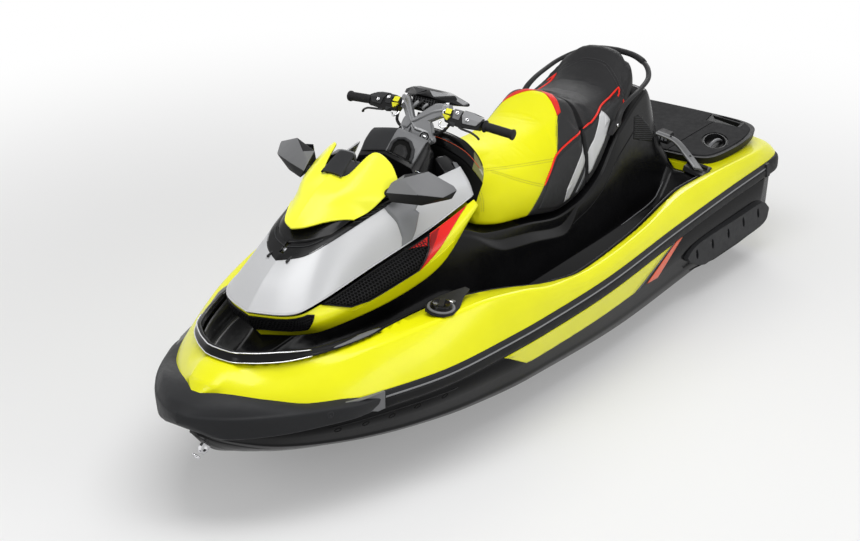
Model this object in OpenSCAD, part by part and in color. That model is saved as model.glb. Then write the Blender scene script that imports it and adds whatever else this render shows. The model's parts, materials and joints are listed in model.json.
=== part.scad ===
// Personal watercraft: V hull with a sprung deck, fairing, seat, handlebar and water-jet drive.
// +X is the bow, +Y is port and +Z is up. The origin is amidships, at the waterline.
// The shells are drawn from a table of offsets: x from the stern, y from the centre plane and
// z from the keel, for a craft of the reference length and beam.

/* [Overall] */
// Length from stern to bow bumper
craft_length = 3540; // [3000:10:4300]
// Width over the side bumpers
beam = 1220; // [1010:10:1460]
// Depth of the keel below the waterline, with nobody aboard
draft = 280; // [230:5:330]

/* [Hull] */
// Height of the joint between hull and topside above the keel
bond_z = 370; // [350:5:375]
// Height of the side bumper strip
strip_h = 70; // [60:5:75]
// How far the side bumper strip stands out
strip_out = 13; // [8:1:20]
// Thickness of a sponson
sponson_t = 30; // [25:1:45]
// Diameter of the round hole in the bow eye
bow_eye_hole = 24; // [16:1:30]
// Diameter of the round hole in each stern eye
stern_eye_hole = 22; // [14:1:28]

/* [Engine] */
// Length of the engine block
engine_l = 600; // [500:10:640]
// Width of the engine block
engine_w = 340; // [280:10:370]
// Height of the engine block
engine_h = 400; // [350:10:420]

/* [Deck and storage] */
// Gap between the sprung deck and the hull
deck_gap = 15; // [8:1:20]
// Wall of the mouldings
wall = 8; // [5:1:10]
// Length of the front storage bin
bin_l = 300; // [200:10:320]
// Width of the front storage bin
bin_w = 180; // [120:10:200]
// Depth of the front storage bin
bin_d = 170; // [100:10:200]

/* [Steering] */
// Width over the grips
bar_w = 770; // [640:10:900]
// Diameter of the handlebar tube
bar_d = 22; // [20:1:26]
// Diameter of a grip
grip_d = 34; // [30:1:40]
// Length of a grip
grip_l = 125; // [100:5:140]
// Diameter of the steering column
column_d = 44; // [36:1:52]

/* [Jet drive] */
// Bore of the pump
pump_d = 160; // [140:2:166]
// Height of the shaft above the keel
shaft_z = 120; // [115:1:130]
// Diameter of the drive shaft
shaft_d = 28; // [22:1:34]
// Number of impeller blades
blade_count = 3; // [3:1:4]
// Diameter of the outlet of the steering nozzle
outlet_d = 88; // [80:1:92]

/* [Boarding step] */
// Width of the folding boarding step
step_w = 240; // [200:10:270]
// Length of the boarding step's arms
step_l = 190; // [160:10:220]
// Diameter of the step's tube
step_d = 22; // [18:1:26]

/* [Hidden] */
$fn = 48;

reference_l = 3540;
reference_b = 1220;
along = craft_length / reference_l;
across = beam / reference_b;

// A point of the table of offsets, placed in the craft's own frame
function place(p) = [p[0] * along - craft_length / 2, p[1] * across, p[2] - draft];
function flip_y(p) = [p[0], -p[1], p[2]];
function gx(x) = x * along - craft_length / 2;
function gz(z) = z - draft;
function span(a, b, n) = [for (i = [0 : n]) a + (b - a) * i / n];
function last(t) = t[len(t) - 1];
function reverse(t) = [for (i = [len(t) - 1 : -1 : 0]) t[i]];

// A guide is a list of [x, value]; fair() reads it along a smooth line with no overshoot
function steep(t, i) = (t[i + 1][1] - t[i][1]) / (t[i + 1][0] - t[i][0]);
function lean(t, i) =
    i == 0 ? steep(t, 0)
    : i == len(t) - 1 ? steep(t, i - 1)
    : let (a = steep(t, i - 1), b = steep(t, i)) a * b <= 0 ? 0 : 2 * a * b / (a + b);
function fair(t, x) =
    x <= t[0][0] ? t[0][1]
    : x >= last(t)[0] ? last(t)[1]
    : let (
        i = max([for (k = [0 : len(t) - 2]) if (t[k][0] <= x) k]),
        h = t[i + 1][0] - t[i][0],
        u = (x - t[i][0]) / h
    )
    t[i][1] * (1 + 2 * u) * (1 - u) * (1 - u) + lean(t, i) * h * u * (1 - u) * (1 - u)
    + t[i + 1][1] * u * u * (3 - 2 * u) - lean(t, i + 1) * h * u * u * (1 - u);

// A smooth line through points in space, as n + 1 points
function knot(p, i) = p[max(0, min(len(p) - 1, i))];
function bend(a, b, c, d, u) =
    b + 0.5 * u * ((c - a) + u * (2 * a - 5 * b + 4 * c - d + u * (3 * (b - c) + d - a)));
function line(p, n) = [
    for (k = [0 : n])
        let (s = k / n * (len(p) - 1), i = min(floor(s), len(p) - 2))
        bend(knot(p, i - 1), knot(p, i), knot(p, i + 1), knot(p, i + 2), s - i)
];
// A smooth patch through rows of points; each row runs from the centre plane to port
function patch(rows, n, m) =
    let (fine = [for (r = rows) line(r, n)])
    [for (i = [0 : n]) line([for (r = fine) r[i]], m)];
function both_sides(half) =
    concat([for (r = reverse(half)) [for (p = r) flip_y(p)]],
           [for (i = [1 : len(half) - 1]) half[i]]);

// A solid through closed rings of points, all of one length; its ends are fans of triangles
// about their middles, or one flat face each
function middle(r) = [for (k = [0 : 2]) [for (p = r) p[k]] * [for (p = r) 1] / len(r)];
module loft(rings, fan = true) {
    n = len(rings[0]);
    m = len(rings);
    points = [for (r = rings) for (p = r) place(p)];
    sides = [
        for (i = [0 : m - 2]) for (j = [0 : n - 1])
            let (a = i * n + j, b = i * n + (j + 1) % n, c = b + n, d = a + n)
            each [[a, c, b], [a, d, c]]
    ];
    if (fan) {
        k = m * n;
        polyhedron(concat(points, [place(middle(rings[0])), place(middle(last(rings)))]),
            concat(sides, [for (j = [0 : n - 1]) [k, j, (j + 1) % n]],
                   [for (j = [0 : n - 1]) [k + 1, k - n + (j + 1) % n, k - n + j]]),
            convexity = 10);
    } else {
        polyhedron(points, concat(sides, [[for (j = [0 : n - 1]) j],
            [for (j = [0 : n - 1]) m * n - 1 - j]]), convexity = 10);
    }
}
// Half a section, from keel to deck, made whole; it is seen from the bow
function ring(x, half) =
    concat([for (p = half) [x, p[0], p[1]]],
           [for (p = reverse(half)) if (p[0] > 0.01) [x, -p[0], p[1]]]);

// A shell of the given thickness below a grid of points
function unit(v) = v / max(norm(v), 1e-6);
function up(g, i, j) =
    let (a = g[min(i + 1, len(g) - 1)][j] - g[max(i - 1, 0)][j],
         b = g[i][min(j + 1, len(g[0]) - 1)] - g[i][max(j - 1, 0)])
    unit(cross(a, b));
function sunk(g, t) =
    [for (i = [0 : len(g) - 1]) [for (j = [0 : len(g[0]) - 1]) g[i][j] + up(g, i, j) * t]];
module shell(grid, thickness, lift = 0) {
    g = [for (r = grid) [for (p = r) place(p)]];
    n = len(g);
    m = len(g[0]);
    outer = lift == 0 ? g : sunk(g, -lift);
    inner = sunk(g, thickness - lift);
    points = concat([for (r = outer) each r], [for (r = inner) each r]);
    k = n * m;
    faces = concat(
        [for (i = [0 : n - 2]) for (j = [0 : m - 2])
            let (a = i * m + j, b = a + m, c = b + 1, d = a + 1)
            each [[a, b, c], [a, c, d], [a + k, c + k, b + k], [a + k, d + k, c + k]]],
        [for (i = [0 : n - 2])
            let (a = i * m, b = a + m, p = a + m - 1, q = b + m - 1)
            each [[b, a, a + k], [b, a + k, b + k], [p, q, q + k], [p, q + k, p + k]]],
        [for (j = [0 : m - 2])
            let (p = j, q = j + 1, a = (n - 1) * m + j, b = a + 1)
            each [[p, q, q + k], [p, q + k, p + k], [b, a, a + k], [b, a + k, b + k]]]);
    polyhedron(points, faces, convexity = 10);
}
module pair() {
    children();
    mirror([0, 1, 0]) children();
}

// ---- Hull and topside -------------------------------------------------------------------
transom_x = 150;
keel_z = [[0, 0], [2200, 0], [2600, 25], [2900, 75], [3100, 130], [3250, 190], [3350, 240],
          [3420, 300], [3470, 360]];
chine_y = [[0, 520], [700, 520], [1400, 530], [2100, 505], [2450, 450], [2700, 385], [2900, 320],
           [3100, 235], [3250, 160], [3380, 70], [3470, 12]];
chine_z = [[0, 130], [700, 130], [1400, 122], [2100, 142], [2450, 150], [2700, 165], [2900, 185],
           [3100, 215], [3250, 250], [3380, 305], [3470, 365]];
// Half breadth of the moulded side at the hull joint
side_y = [[8, 400], [20, 470], [50, 512], [110, 532], [200, 540], [500, 545], [1070, 565],
          [1750, 597], [2150, 585], [2400, 565], [2650, 535], [2980, 432], [3100, 375],
          [3200, 312], [3300, 232], [3380, 145], [3440, 45], [3452, 12]];
ridge_y = [[8, 372], [30, 440], [107, 490], [277, 520], [632, 505], [900, 500], [1100, 520],
           [1317, 548], [1700, 572], [2050, 570], [2200, 548], [2450, 500], [2850, 395],
           [3100, 288], [3270, 175], [3380, 90], [3452, 8]];
ridge_z = [[8, 470], [277, 505], [632, 520], [1000, 515], [1700, 503], [2050, 535],
           [2200, 570], [2450, 598], [2850, 580], [3100, 545], [3270, 525], [3380, 510],
           [3452, 490]];
rim_y = [[8, 355], [107, 455], [277, 470], [480, 480], [700, 468], [860, 463], [1018, 479],
         [1400, 522], [1828, 548], [1993, 528], [2268, 410], [2500, 345], [2850, 330],
         [3000, 290], [3180, 205], [3250, 130], [3290, 60]];
rim_z = [[8, 475], [277, 500], [860, 515], [1400, 497], [1800, 500], [2000, 520],
         [2268, 552], [2850, 588], [3000, 580], [3300, 570], [3452, 500]];
foot_x = 600;
rim_front_x = 3290;
strip_x = [190, 2958];

function hull_half(x) =
    let (k = fair(keel_z, x), cy = fair(chine_y, x), cz = fair(chine_z, x),
         sy = min(fair(side_y, x), x > 3440 ? (3482 - x) * 1.1 : 9999))
    [[0, k], [cy * 0.5, k + (cz - k) * 0.46], [cy - 28 * cy / 530, cz - 6], [cy, cz],
     [cy + (sy - cy) * 0.45, cz + (bond_z - cz) * 0.35], [sy, bond_z]];
hull_stations = concat([transom_x, 420, 700], span(900, 2200, 6), span(2350, 3100, 6),
                       [3180, 3250, 3320, 3380, 3425, 3455]);

function rim_outline(inset, x0, x1) = let (
    xs = concat([x0], [for (x = [x0 + 45 : 45 : x1 - 20]) x], [x1]),
    half = [for (x = xs) [gx(x), (fair(rim_y, x)) * across - inset]])
    concat(half, [for (p = reverse(half)) [p[0], -p[1]]]);

tub_z = 315;
bay_x = [1290, 2170];
bay_w = 390;
bay_z = 85;
tunnel_x = 620;
tunnel_w = 300;
tunnel_top = 300;
duct_w = 150;
duct = [[700, -60], [1080, -60], [1080, 22], [900, 160], [790, shaft_z + pump_d / 2],
        [tunnel_x - 1, shaft_z + pump_d / 2], [tunnel_x - 1, shaft_z - pump_d / 2],
        [700, shaft_z - pump_d / 2]];

module side_cut(outline, width) {
    translate([0, width / 2, 0]) rotate([90, 0, 0]) linear_extrude(width)
        polygon([for (p = outline) [gx(p[0]), gz(p[1])]]);
}
module lower_hull() {
    color([0.05, 0.05, 0.055])
    difference() {
        loft([for (x = hull_stations) ring(x, hull_half(x))]);
        translate([0, 0, gz(tub_z)]) linear_extrude(200) polygon(rim_outline(-8, 640, 2080));
        translate([gx(bay_x[0]), -bay_w / 2, gz(bay_z)])
            cube([gx(bay_x[1]) - gx(bay_x[0]), bay_w, 400]);
        translate([gx(transom_x) - 5, -tunnel_w / 2, gz(-10)])
            cube([gx(tunnel_x) - gx(transom_x) + 5, tunnel_w, tunnel_top + 10]);
        side_cut(duct, duct_w);
        translate([gx(850), 0, gz(shaft_z)]) rotate([0, 90, 0])
            cylinder(d = shaft_d + 14, h = gx(bay_x[0]) - gx(850) + 10);
    }
}
function topside_half(x) =
    let (sy = fair(side_y, x), ry = fair(ridge_y, x), rz = fair(ridge_z, x),
         iy = min(fair(rim_y, x), ry - 6), iz = fair(rim_z, x))
    [[sy, bond_z], [sy, bond_z + strip_h], [(sy + ry) / 2 + 5, (bond_z + strip_h + rz) / 2 + 4],
     [ry, rz], [ry > iy + 12 ? iy : ry - 6, iz]];
topside_stations = concat([8, 22, 50, 107, strip_x[0], 340, 480], span(foot_x, 2000, 10),
                          span(2100, 2850, 7), [strip_x[1], 3060, 3130, 3190, 3240, 3290, 3350, 3400, 3440]);
module topside() {
    color([0.82, 0.86, 0.02])
    difference() {
        loft([for (x = topside_stations) ring(x, topside_half(x))]);
        translate([0, 0, gz(bond_z) - 1]) linear_extrude(400)
            polygon(rim_outline(0, foot_x, rim_front_x));
    }
}

// ---- Bumpers ----------------------------------------------------------------------------
bow_y = [[2960, 447], [3060, 428], [3200, 362], [3300, 303], [3380, 243], [3450, 178],
         [3505, 100], [3530, 45], [3540, 8]];
bow_crease = [[2960, 410], [3300, 440], [3540, 456]];
bow_top = [[2960, 442], [3200, 452], [3300, 478], [3421, 508], [3500, 500], [3540, 470]];
bow_foot = [[2960, 366], [3300, 366], [3460, 372], [3540, 430]];
bow_stations = concat(span(2960, 3380, 6), [3420, 3450, 3480, 3505, 3525, 3540]);
function bow_half(x) =
    let (y = fair(bow_y, x), c = fair(bow_crease, x), t = fair(bow_top, x), b = fair(bow_foot, x))
    [[max(y - 26, 2), b], [y, c - 14], [y, c + 6], [max(y - 44, 2), t]];
module bow_bumper() {
    color([0.16, 0.165, 0.17])
    difference() {
        loft([for (x = bow_stations) ring(x, bow_half(x))]);
        loft([for (x = topside_stations) ring(x, topside_half(x))]);
        loft([for (x = hull_stations) ring(x, hull_half(x))]);
    }
}
function strip_ring(x) =
    let (y = fair(side_y, x), o = strip_out / across)
    [[x, y, bond_z + 1], [x, y + o * 0.7, bond_z + 1], [x, y + o, bond_z + strip_h * 0.2],
     [x, y + o, bond_z + strip_h * 0.55], [x, y + o * 0.6, bond_z + strip_h], [x, y, bond_z + strip_h]];
module side_bumper() {
    loft([for (x = topside_stations) if (x >= strip_x[0] && x <= strip_x[1]) strip_ring(x)]);
}
module left_bumper() {
    color([0.2, 0.2, 0.2]) side_bumper();
}
module right_bumper() {
    color([0.2, 0.2, 0.2]) mirror([0, 1, 0]) side_bumper();
}
stern_outer = [[0, 0], [0, 350], [6, 440], [20, 495], [50, 533], [110, 550], [188, 556]];
stern_inner = [8, 22, 50, 107, 150, 188];
module stern_bumper() {
    outer = [for (p = stern_outer) [gx(p[0]), p[1] * across]];
    inner = concat([[gx(8), 0]], [for (x = stern_inner) [gx(x), fair(side_y, x) * across + 0.3]]);
    half = concat(outer, reverse(inner));
    color([0.1, 0.1, 0.1])
    translate([0, 0, gz(bond_z + 1)]) linear_extrude(strip_h - 1) union() {
        polygon(half);
        mirror([0, 1, 0]) polygon(half);
    }
}

// ---- Eyes and fittings ------------------------------------------------------------------
eye_t = 12;
module eye(hole, reach) {
    rotate([90, 0, 0]) difference() {
        hull_plate(hole, reach);
        translate([0, 0, -eye_t]) cylinder(d = hole, h = 2 * eye_t);
    }
}
module hull_plate(hole, reach) {
    translate([0, 0, -eye_t / 2]) union() {
        cylinder(d = hole + 20, h = eye_t);
        translate([-reach, -hole / 2 - 10, 0]) cube([reach, hole + 20, eye_t]);
    }
}
bow_eye_at = [3412, 276];
module bow_eye() {
    color([0.8, 0.8, 0.82])
    difference() {
        translate([gx(bow_eye_at[0]), 0, gz(bow_eye_at[1])]) rotate([0, 35, 0])
            eye(bow_eye_hole, 40);
        loft([for (x = hull_stations) ring(x, hull_half(x))]);
    }
}
stern_eye_reach = 24;
stern_eye_z = 300;
step_y = 330;
step_bracket_gap = 18;
module stern_eye() {
    // It clears the boarding step's brackets
    y = step_y * across + step_w / 2 + step_bracket_gap + 12;
    translate([gx(transom_x) - stern_eye_reach, y, gz(stern_eye_z)])
        mirror([1, 0, 0]) eye(stern_eye_hole, stern_eye_reach);
}
module left_stern_eye() {
    color([0.8, 0.8, 0.82]) stern_eye();
}
module right_stern_eye() {
    color([0.8, 0.8, 0.82]) mirror([0, 1, 0]) stern_eye();
}
sponson_outline = [[954, 247], [806, 154], [249, 143], [173, 200], [253, 272], [456, 278],
                   [848, 284]];
module sponson() {
    color([0.14, 0.14, 0.145])
    difference() {
        translate([0, (535 + sponson_t) * across, 0]) side_cut_slab(sponson_outline, 40 + sponson_t);
        loft([for (x = hull_stations) ring(x, hull_half(x))]);
    }
}
module side_cut_slab(outline, width) {
    rotate([90, 0, 0]) linear_extrude(width) polygon([for (p = outline) [gx(p[0]), gz(p[1])]]);
}
module left_sponson() {
    sponson();
}
module right_sponson() {
    mirror([0, 1, 0]) sponson();
}
cap_at = [2575, 418, 602];
module fuel_cap() {
    color([0.08, 0.08, 0.085])
    translate(place(cap_at)) rotate([-6, 0, 0]) {
        cylinder(d = 84, h = 8);
        translate([0, 0, 8]) cylinder(d = 66, h = 12);
    }
}
trim_end_x = 2822;
trim_xs = concat([3284, 3270, 3245, 3210, 3160], span(3090, trim_end_x, 5));
module mouth_trim() {
    side = concat([[rim_front_x, 0], [rim_front_x, 44]], [for (x = trim_xs) [x, fair(rim_y, x)]]);
    n = len(side) - 1;
    half = [for (i = [0 : n]) let (
        a = side[max(i - 1, 0)], b = side[min(i + 1, n)], t = unit([b[0] - a[0], b[1] - a[1]]),
        o = i == 0 ? [1, 0] : [t[1], -t[0]], p = side[i], z = fair(rim_z, p[0]),
        h = 36 - 18 * i / n)
        [for (q = [[-10, -30], [-4, -30], [-4, 9], [11, 9], [9, h], [-8, h]])
            [p[0] + o[0] * q[0], p[1] + o[1] * q[0], z + q[1]]]];
    color([0.12, 0.12, 0.13])
    loft(concat([for (i = [n : -1 : 1]) [for (p = half[i]) flip_y(p)]], [half[0]],
                [for (i = [1 : n]) half[i]]));
}

// ---- Sprung deck ------------------------------------------------------------------------
deck_x = [625, 3200];
seat_foot = [[735, 888], [800, 870], [880, 838], [940, 805], [1000, 770], [1145, 630],
             [1300, 570], [1440, 556], [1715, 610], [2000, 665], [2100, 722]];
hump_z = [[560, 560], [640, 700], [700, 840], [735, 880], [800, 862], [880, 830], [940, 797],
          [1000, 762], [1145, 622], [1300, 562], [1440, 548], [1715, 602], [2000, 657],
          [2100, 700], [2250, 740], [2500, 740], [2800, 660], [3000, 590], [3200, 540]];
hump_y = [[560, 190], [740, 205], [957, 220], [1400, 235], [1700, 238], [2000, 225],
          [2250, 185], [2500, 170], [2800, 130], [3000, 90], [3200, 50]];
hump_foot_y = [[560, 290], [860, 285], [1300, 300], [1770, 300], [2100, 265], [2300, 220],
               [2600, 195], [3000, 125], [3200, 75]];
floor_z = [[560, 500], [640, 490], [700, 430], [760, 378], [860, 360], [1400, 345],
           [1800, 345], [2000, 365], [2150, 425], [2300, 480], [3200, 495]];
function deck_top(x) =
    let (hz = fair(hump_z, x), hy = fair(hump_y, x), fy = fair(hump_foot_y, x),
         fz = fair(floor_z, x), ry = fair(rim_y, x) - (deck_gap + wall) / across,
         rz = fair(rim_z, x) - 4)
    [[0, hz], [hy * 0.7, hz], [hy, hz - 14], [hy + (fy - hy) * 0.25, hz - (hz - fz) * 0.28],
     [fy - 4, fz + 24], [fy + 16, fz], [max(fy + 24, ry - 26), fz],
     [max(fy + 30, ry - 12), fz + 12], [max(fy + 36, ry), max(rz, fz + 20)]];
function deck_under(x) =
    let (t = deck_top(x), w = wall)
    [[0, t[0][1] - w], [t[1][0] - w / 2, t[1][1] - w], [t[2][0] - w, t[2][1] - w],
     [t[3][0] - w, t[3][1] - w / 2], [t[4][0] - w, t[4][1] - w / 2], [t[5][0] - w / 2, t[5][1] - w],
     [t[6][0] + w / 2, t[6][1] - w], [t[7][0] + w, t[7][1] - w / 2], [t[8][0] + w, t[8][1]]];
function deck_ring(x) =
    let (t = deck_top(x), u = deck_under(x), n = len(t) - 1,
         loop = concat(t, reverse(u), [for (i = [1 : n]) [-u[i][0], u[i][1]]],
                       [for (i = [n : -1 : 1]) [-t[i][0], t[i][1]]]))
    [for (p = reverse(loop)) [x, p[0], p[1]]];
bin_x = 2700;
bin_top = 900;
module deck_body() {
    color([0.045, 0.045, 0.05])
    difference() {
        loft([for (x = concat(span(deck_x[0], 860, 6), span(950, 2000, 10),
                              span(2100, deck_x[1], 9))) deck_ring(x)], fan = false);
        translate([gx(bin_x) - bin_l - 12, -bin_w / 2 - 12, gz(500)])
            cube([bin_l + 24, bin_w + 24, 400]);
    }
}
module engine_block() {
    color([0.3, 0.3, 0.32])
    translate([gx(1500), -engine_w / 2, gz(bay_z + 25)]) cube([engine_l, engine_w, engine_h]);
}
spring_d = 70;
module deck_springs() {
    color([0.75, 0.55, 0.05])
    for (x = [1150, 2600]) translate([gx(x), 0, gz(bond_z - (x > 2000 ? 0 : 55))])
        cylinder(d = spring_d, h = 110);
}
module foot_mat() {
    translate([0, 0, gz(345) + 14]) linear_extrude(5) polygon(concat(
        [for (x = [1000 : 100 : 1800]) [gx(x), (fair(hump_foot_y, x) + 34) * across]],
        [for (x = [1800 : -100 : 1000]) [gx(x), (fair(rim_y, x) - 44) * across - deck_gap]]));
}
module left_foot_mat() {
    color([0.09, 0.09, 0.09]) foot_mat();
}
module right_foot_mat() {
    color([0.09, 0.09, 0.09]) mirror([0, 1, 0]) foot_mat();
}

// ---- Stern platform ---------------------------------------------------------------------
platform_t = 28;
platform_z = 512;
platform_outline = [[575, 250], [560, 380], [500, 440], [300, 458], [140, 440], [60, 400],
                    [22, 320], [10, 150], [8, 0]];
module rear_platform() {
    color([0.05, 0.05, 0.055])
    difference() {
        translate([0, 0, gz(platform_z)]) linear_extrude(platform_t) polygon(concat(
            [for (p = platform_outline) [gx(p[0]), p[1] * across]],
            [for (p = reverse(platform_outline)) [gx(p[0]), -p[1] * across]]));
        for (s = [-1, 1]) translate([gx(330), s * 340 * across, gz(platform_z + 12)])
            cylinder(d = 95, h = 60);
    }
}
module platform_mat() {
    color([0.08, 0.08, 0.08])
    translate([0, 0, gz(platform_z + platform_t)]) linear_extrude(5) polygon(concat(
        [for (p = platform_outline) [gx(p[0] * 0.86 + 30), p[1] * 0.62 * across]],
        [for (p = reverse(platform_outline)) [gx(p[0] * 0.86 + 30), -p[1] * 0.62 * across]]));
}
arch_rows = [[[690, 262, 640], [625, 330, 590], [630, 400, 552], [740, 432, 530]],
             [[650, 262, 640], [590, 340, 590], [600, 425, 552], [730, 452, 530]]];
module arch() {
    shell(patch(arch_rows, 12, 2), -14);
}
module left_arch() {
    color([0.3, 0.3, 0.31]) arch();
}
module right_arch() {
    color([0.3, 0.3, 0.31]) mirror([0, 1, 0]) arch();
}

// ---- Front fairing ----------------------------------------------------------------------
silver_rows = [
    [[2987, 0, 835], [2935, 80, 852], [2850, 125, 884], [2650, 165, 930], [2450, 200, 968],
     [2190, 235, 985]],
    [[3075, 0, 775], [3020, 105, 780], [2920, 155, 805], [2650, 196, 855], [2450, 232, 890],
     [2180, 268, 930]],
    [[3157, 0, 699], [3095, 140, 701], [2990, 188, 722], [2700, 212, 762], [2420, 250, 812],
     [2178, 288, 880]]];
pod_rows = [
    [[3148, 0, 686], [3085, 138, 688], [2980, 186, 708], [2690, 212, 747], [2410, 252, 796],
     [2180, 290, 862]],
    [[3122, 0, 636], [3060, 150, 640], [2960, 215, 660], [2650, 255, 690], [2380, 296, 745],
     [2176, 306, 838]],
    [[3085, 0, 582], [3010, 130, 588], [2920, 205, 606], [2620, 248, 612], [2380, 284, 668],
     [2190, 288, 800]]];
silver_half = patch(silver_rows, 18, 5);
pod_half = patch(pod_rows, 18, 5);
function cutout(g, i0, i1, j0, j1) = [for (i = [i0 : i1]) [for (j = [j0 : j1]) g[i][j]]];
module front_fairing() {
    color([0.75, 0.76, 0.77]) {
        shell(both_sides(silver_half), wall);
        hood_bracket();
    }
}
module lower_fairing() {
    color([0.82, 0.86, 0.02]) shell(both_sides(pod_half), wall);
}
module side_grille() {
    shell(cutout(pod_half, 5, 14, 0, 3), 3, 3.5);
}
module left_grille() {
    color([0.03, 0.03, 0.03]) side_grille();
}
module right_grille() {
    color([0.03, 0.03, 0.03]) mirror([0, 1, 0]) side_grille();
}
module front_grille() {
    color([0.03, 0.03, 0.03]) shell(both_sides(cutout(pod_half, 0, 3, 0, 2)), 3, 3.5);
}
module storage_bin() {
    color([0.1, 0.1, 0.1])
    translate([gx(bin_x) - bin_l, -bin_w / 2, gz(bin_top) - bin_d]) difference() {
        cube([bin_l, bin_w, bin_d]);
        translate([4, 4, 4]) cube([bin_l - 8, bin_w - 8, bin_d]);
    }
}

// ---- Hood -------------------------------------------------------------------------------
hood_pivot = [2930, 850];
hood_pin_d = 10;
module at_hood_pivot() {
    translate([gx(hood_pivot[0]), 0, gz(hood_pivot[1])]) rotate([90, 0, 0]) children();
}
module hood_bracket() {
    at_hood_pivot() cylinder(d = hood_pin_d, h = 92, center = true);
    pair() translate([gx(hood_pivot[0]) - 5, 38, gz(hood_pivot[1]) - 12]) cube([62, 8, 17]);
}
hood_base_rows = [
    [[2470, 0, 1040], [2480, 60, 1040], [2500, 120, 1030], [2520, 150, 1010], [2540, 168, 985]],
    [[2660, 0, 1000], [2660, 60, 1000], [2662, 105, 990], [2665, 130, 975], [2668, 148, 948]],
    [[2920, 0, 880], [2905, 40, 884], [2880, 75, 890], [2850, 98, 895], [2820, 115, 900]]];
visor_rows = [
    [[2655, 0, 1060], [2655, 50, 1056], [2560, 75, 1105], [2520, 130, 1090], [2545, 175, 1020]],
    [[2780, 0, 1005], [2775, 60, 1000], [2740, 100, 1005], [2700, 140, 985], [2680, 172, 950]],
    [[2900, 0, 926], [2885, 45, 925], [2855, 85, 922], [2820, 118, 915], [2790, 140, 908]]];
module hood_base() {
    color([0.05, 0.05, 0.055]) difference() {
        union() {
            shell(both_sides(patch(hood_base_rows, 8, 8)), 22);
            at_hood_pivot() cylinder(d = hood_pin_d + 10, h = 60, center = true);
            translate([gx(hood_pivot[0]) - 24, -30, gz(hood_pivot[1]) - 2]) cube([18, 60, 24]);
        }
        at_hood_pivot() cylinder(d = hood_pin_d + 0.6, h = 70, center = true);
    }
}
module visor() {
    color([0.85, 0.88, 0.05]) shell(both_sides(patch(visor_rows, 10, 8)), 10);
}
module mirror_head() {
    hull() {
        translate(place([2583, 190, 985])) sphere(d = 20, $fn = 12);
        translate(place([2510, 200, 1040])) sphere(d = 16, $fn = 12);
        translate(place([2490, 300, 1068])) sphere(d = 12, $fn = 12);
        translate(place([2536, 300, 965])) sphere(d = 14, $fn = 12);
        translate(place([2468, 400, 1024])) sphere(d = 12, $fn = 12);
        translate(place([2460, 385, 985])) sphere(d = 12, $fn = 12);
    }
}
module left_mirror() {
    color([0.07, 0.07, 0.07]) mirror_head();
}
module right_mirror() {
    color([0.07, 0.07, 0.07]) mirror([0, 1, 0]) mirror_head();
}

// ---- Steering ---------------------------------------------------------------------------
column_at = [2130, 1040];
column_tilt = 25;
riser_reach = 96;
module on_column() {
    translate([gx(column_at[0]), 0, gz(column_at[1])]) rotate([0, -column_tilt, 0]) children();
}
console_rings = [[2205, 760, 120, 1020, 96, 1060, 1070], [2262, 760, 130, 1045, 123, 1072, 1101],
                 [2345, 760, 135, 985, 118, 1020, 1040]];
module console() {
    color([0.35, 0.35, 0.36])
    difference() {
        loft([for (c = console_rings) ring(c[0], [[c[2], c[1]], [c[2] + 8, c[3]],
                                                  [c[4], c[5]], [0, c[6]]])]);
        on_column() translate([0, 0, -320]) cylinder(d = column_d + 14, h = 400);
        on_column() translate([0, 0, -42]) cylinder(r = riser_reach, h = 200);
    }
}
module steering_column() {
    color([0.12, 0.12, 0.12]) on_column() translate([0, 0, -200]) cylinder(d = column_d, h = 285);
}
module riser_arm(s) {
    hull() {
        translate([30, s * 92, 96]) rotate([90, 0, 0]) cylinder(d = 26, h = 22, center = true, $fn = 24);
        translate([52, s * 14, 46]) rotate([90, 0, 0]) cylinder(d = 30, h = 26, center = true, $fn = 24);
    }
    hull() {
        translate([52, s * 14, 46]) rotate([90, 0, 0]) cylinder(d = 30, h = 26, center = true, $fn = 24);
        translate([44, s * 60, -14]) rotate([90, 0, 0]) cylinder(d = 26, h = 20, center = true, $fn = 24);
    }
}
module steering_riser() {
    color([0.4, 0.4, 0.41])
    on_column() difference() {
        union() {
            riser_arm(1);
            riser_arm(-1);
            translate([-14, -30, 60]) cube([74, 60, 24]);
        }
        translate([0, 0, -250]) cylinder(d = column_d, h = 335);
        translate([0, 0, 100]) rotate([90, 0, 0]) cylinder(d = bar_d + 12, h = 160, center = true);
    }
}
bar_bend = 70;
bar_turn = [-3, -8, 0];
controls_at = [30, 185];
module bar_side() {
    translate([-2, 0, 102]) {
        rotate([-90, 0, 0]) cylinder(d = bar_d, h = bar_bend);
        translate([0, bar_bend, 0]) {
            sphere(d = bar_d + 3);
            rotate([-90, 0, 0]) rotate(bar_turn)
                cylinder(d = bar_d, h = bar_w / 2 - bar_bend - 4);
        }
    }
}
module handlebar() {
    color([0.1, 0.1, 0.1]) on_column() pair() bar_side();
}
module along_bar() {
    translate([-2, bar_bend, 102]) rotate([-90, 0, 0]) rotate(bar_turn) children();
}
module grip() {
    on_column() along_bar() translate([0, 0, bar_w / 2 - bar_bend - grip_l]) difference() {
        union() {
            cylinder(d = grip_d, h = grip_l);
            cylinder(d = grip_d + 14, h = 6);
            translate([0, 0, grip_l - 8]) cylinder(d = grip_d + 8, h = 8);
        }
        translate([0, 0, -1]) cylinder(d = bar_d, h = grip_l - 3);
    }
}
module controls() {
    on_column() difference() {
        along_bar() translate([-26, -30, controls_at[0]])
            cube([56, 56, controls_at[1] - controls_at[0]]);
        along_bar() translate([0, 0, -5]) cylinder(d = bar_d, h = 400);
        pad_form();
    }
}
module left_grip() {
    color([0.05, 0.05, 0.05]) grip();
}
module right_grip() {
    color([0.05, 0.05, 0.05]) mirror([0, 1, 0]) grip();
}
module left_controls() {
    color([0.3, 0.3, 0.31]) controls();
}
module right_controls() {
    color([0.3, 0.3, 0.31]) mirror([0, 1, 0]) controls();
}
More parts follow.
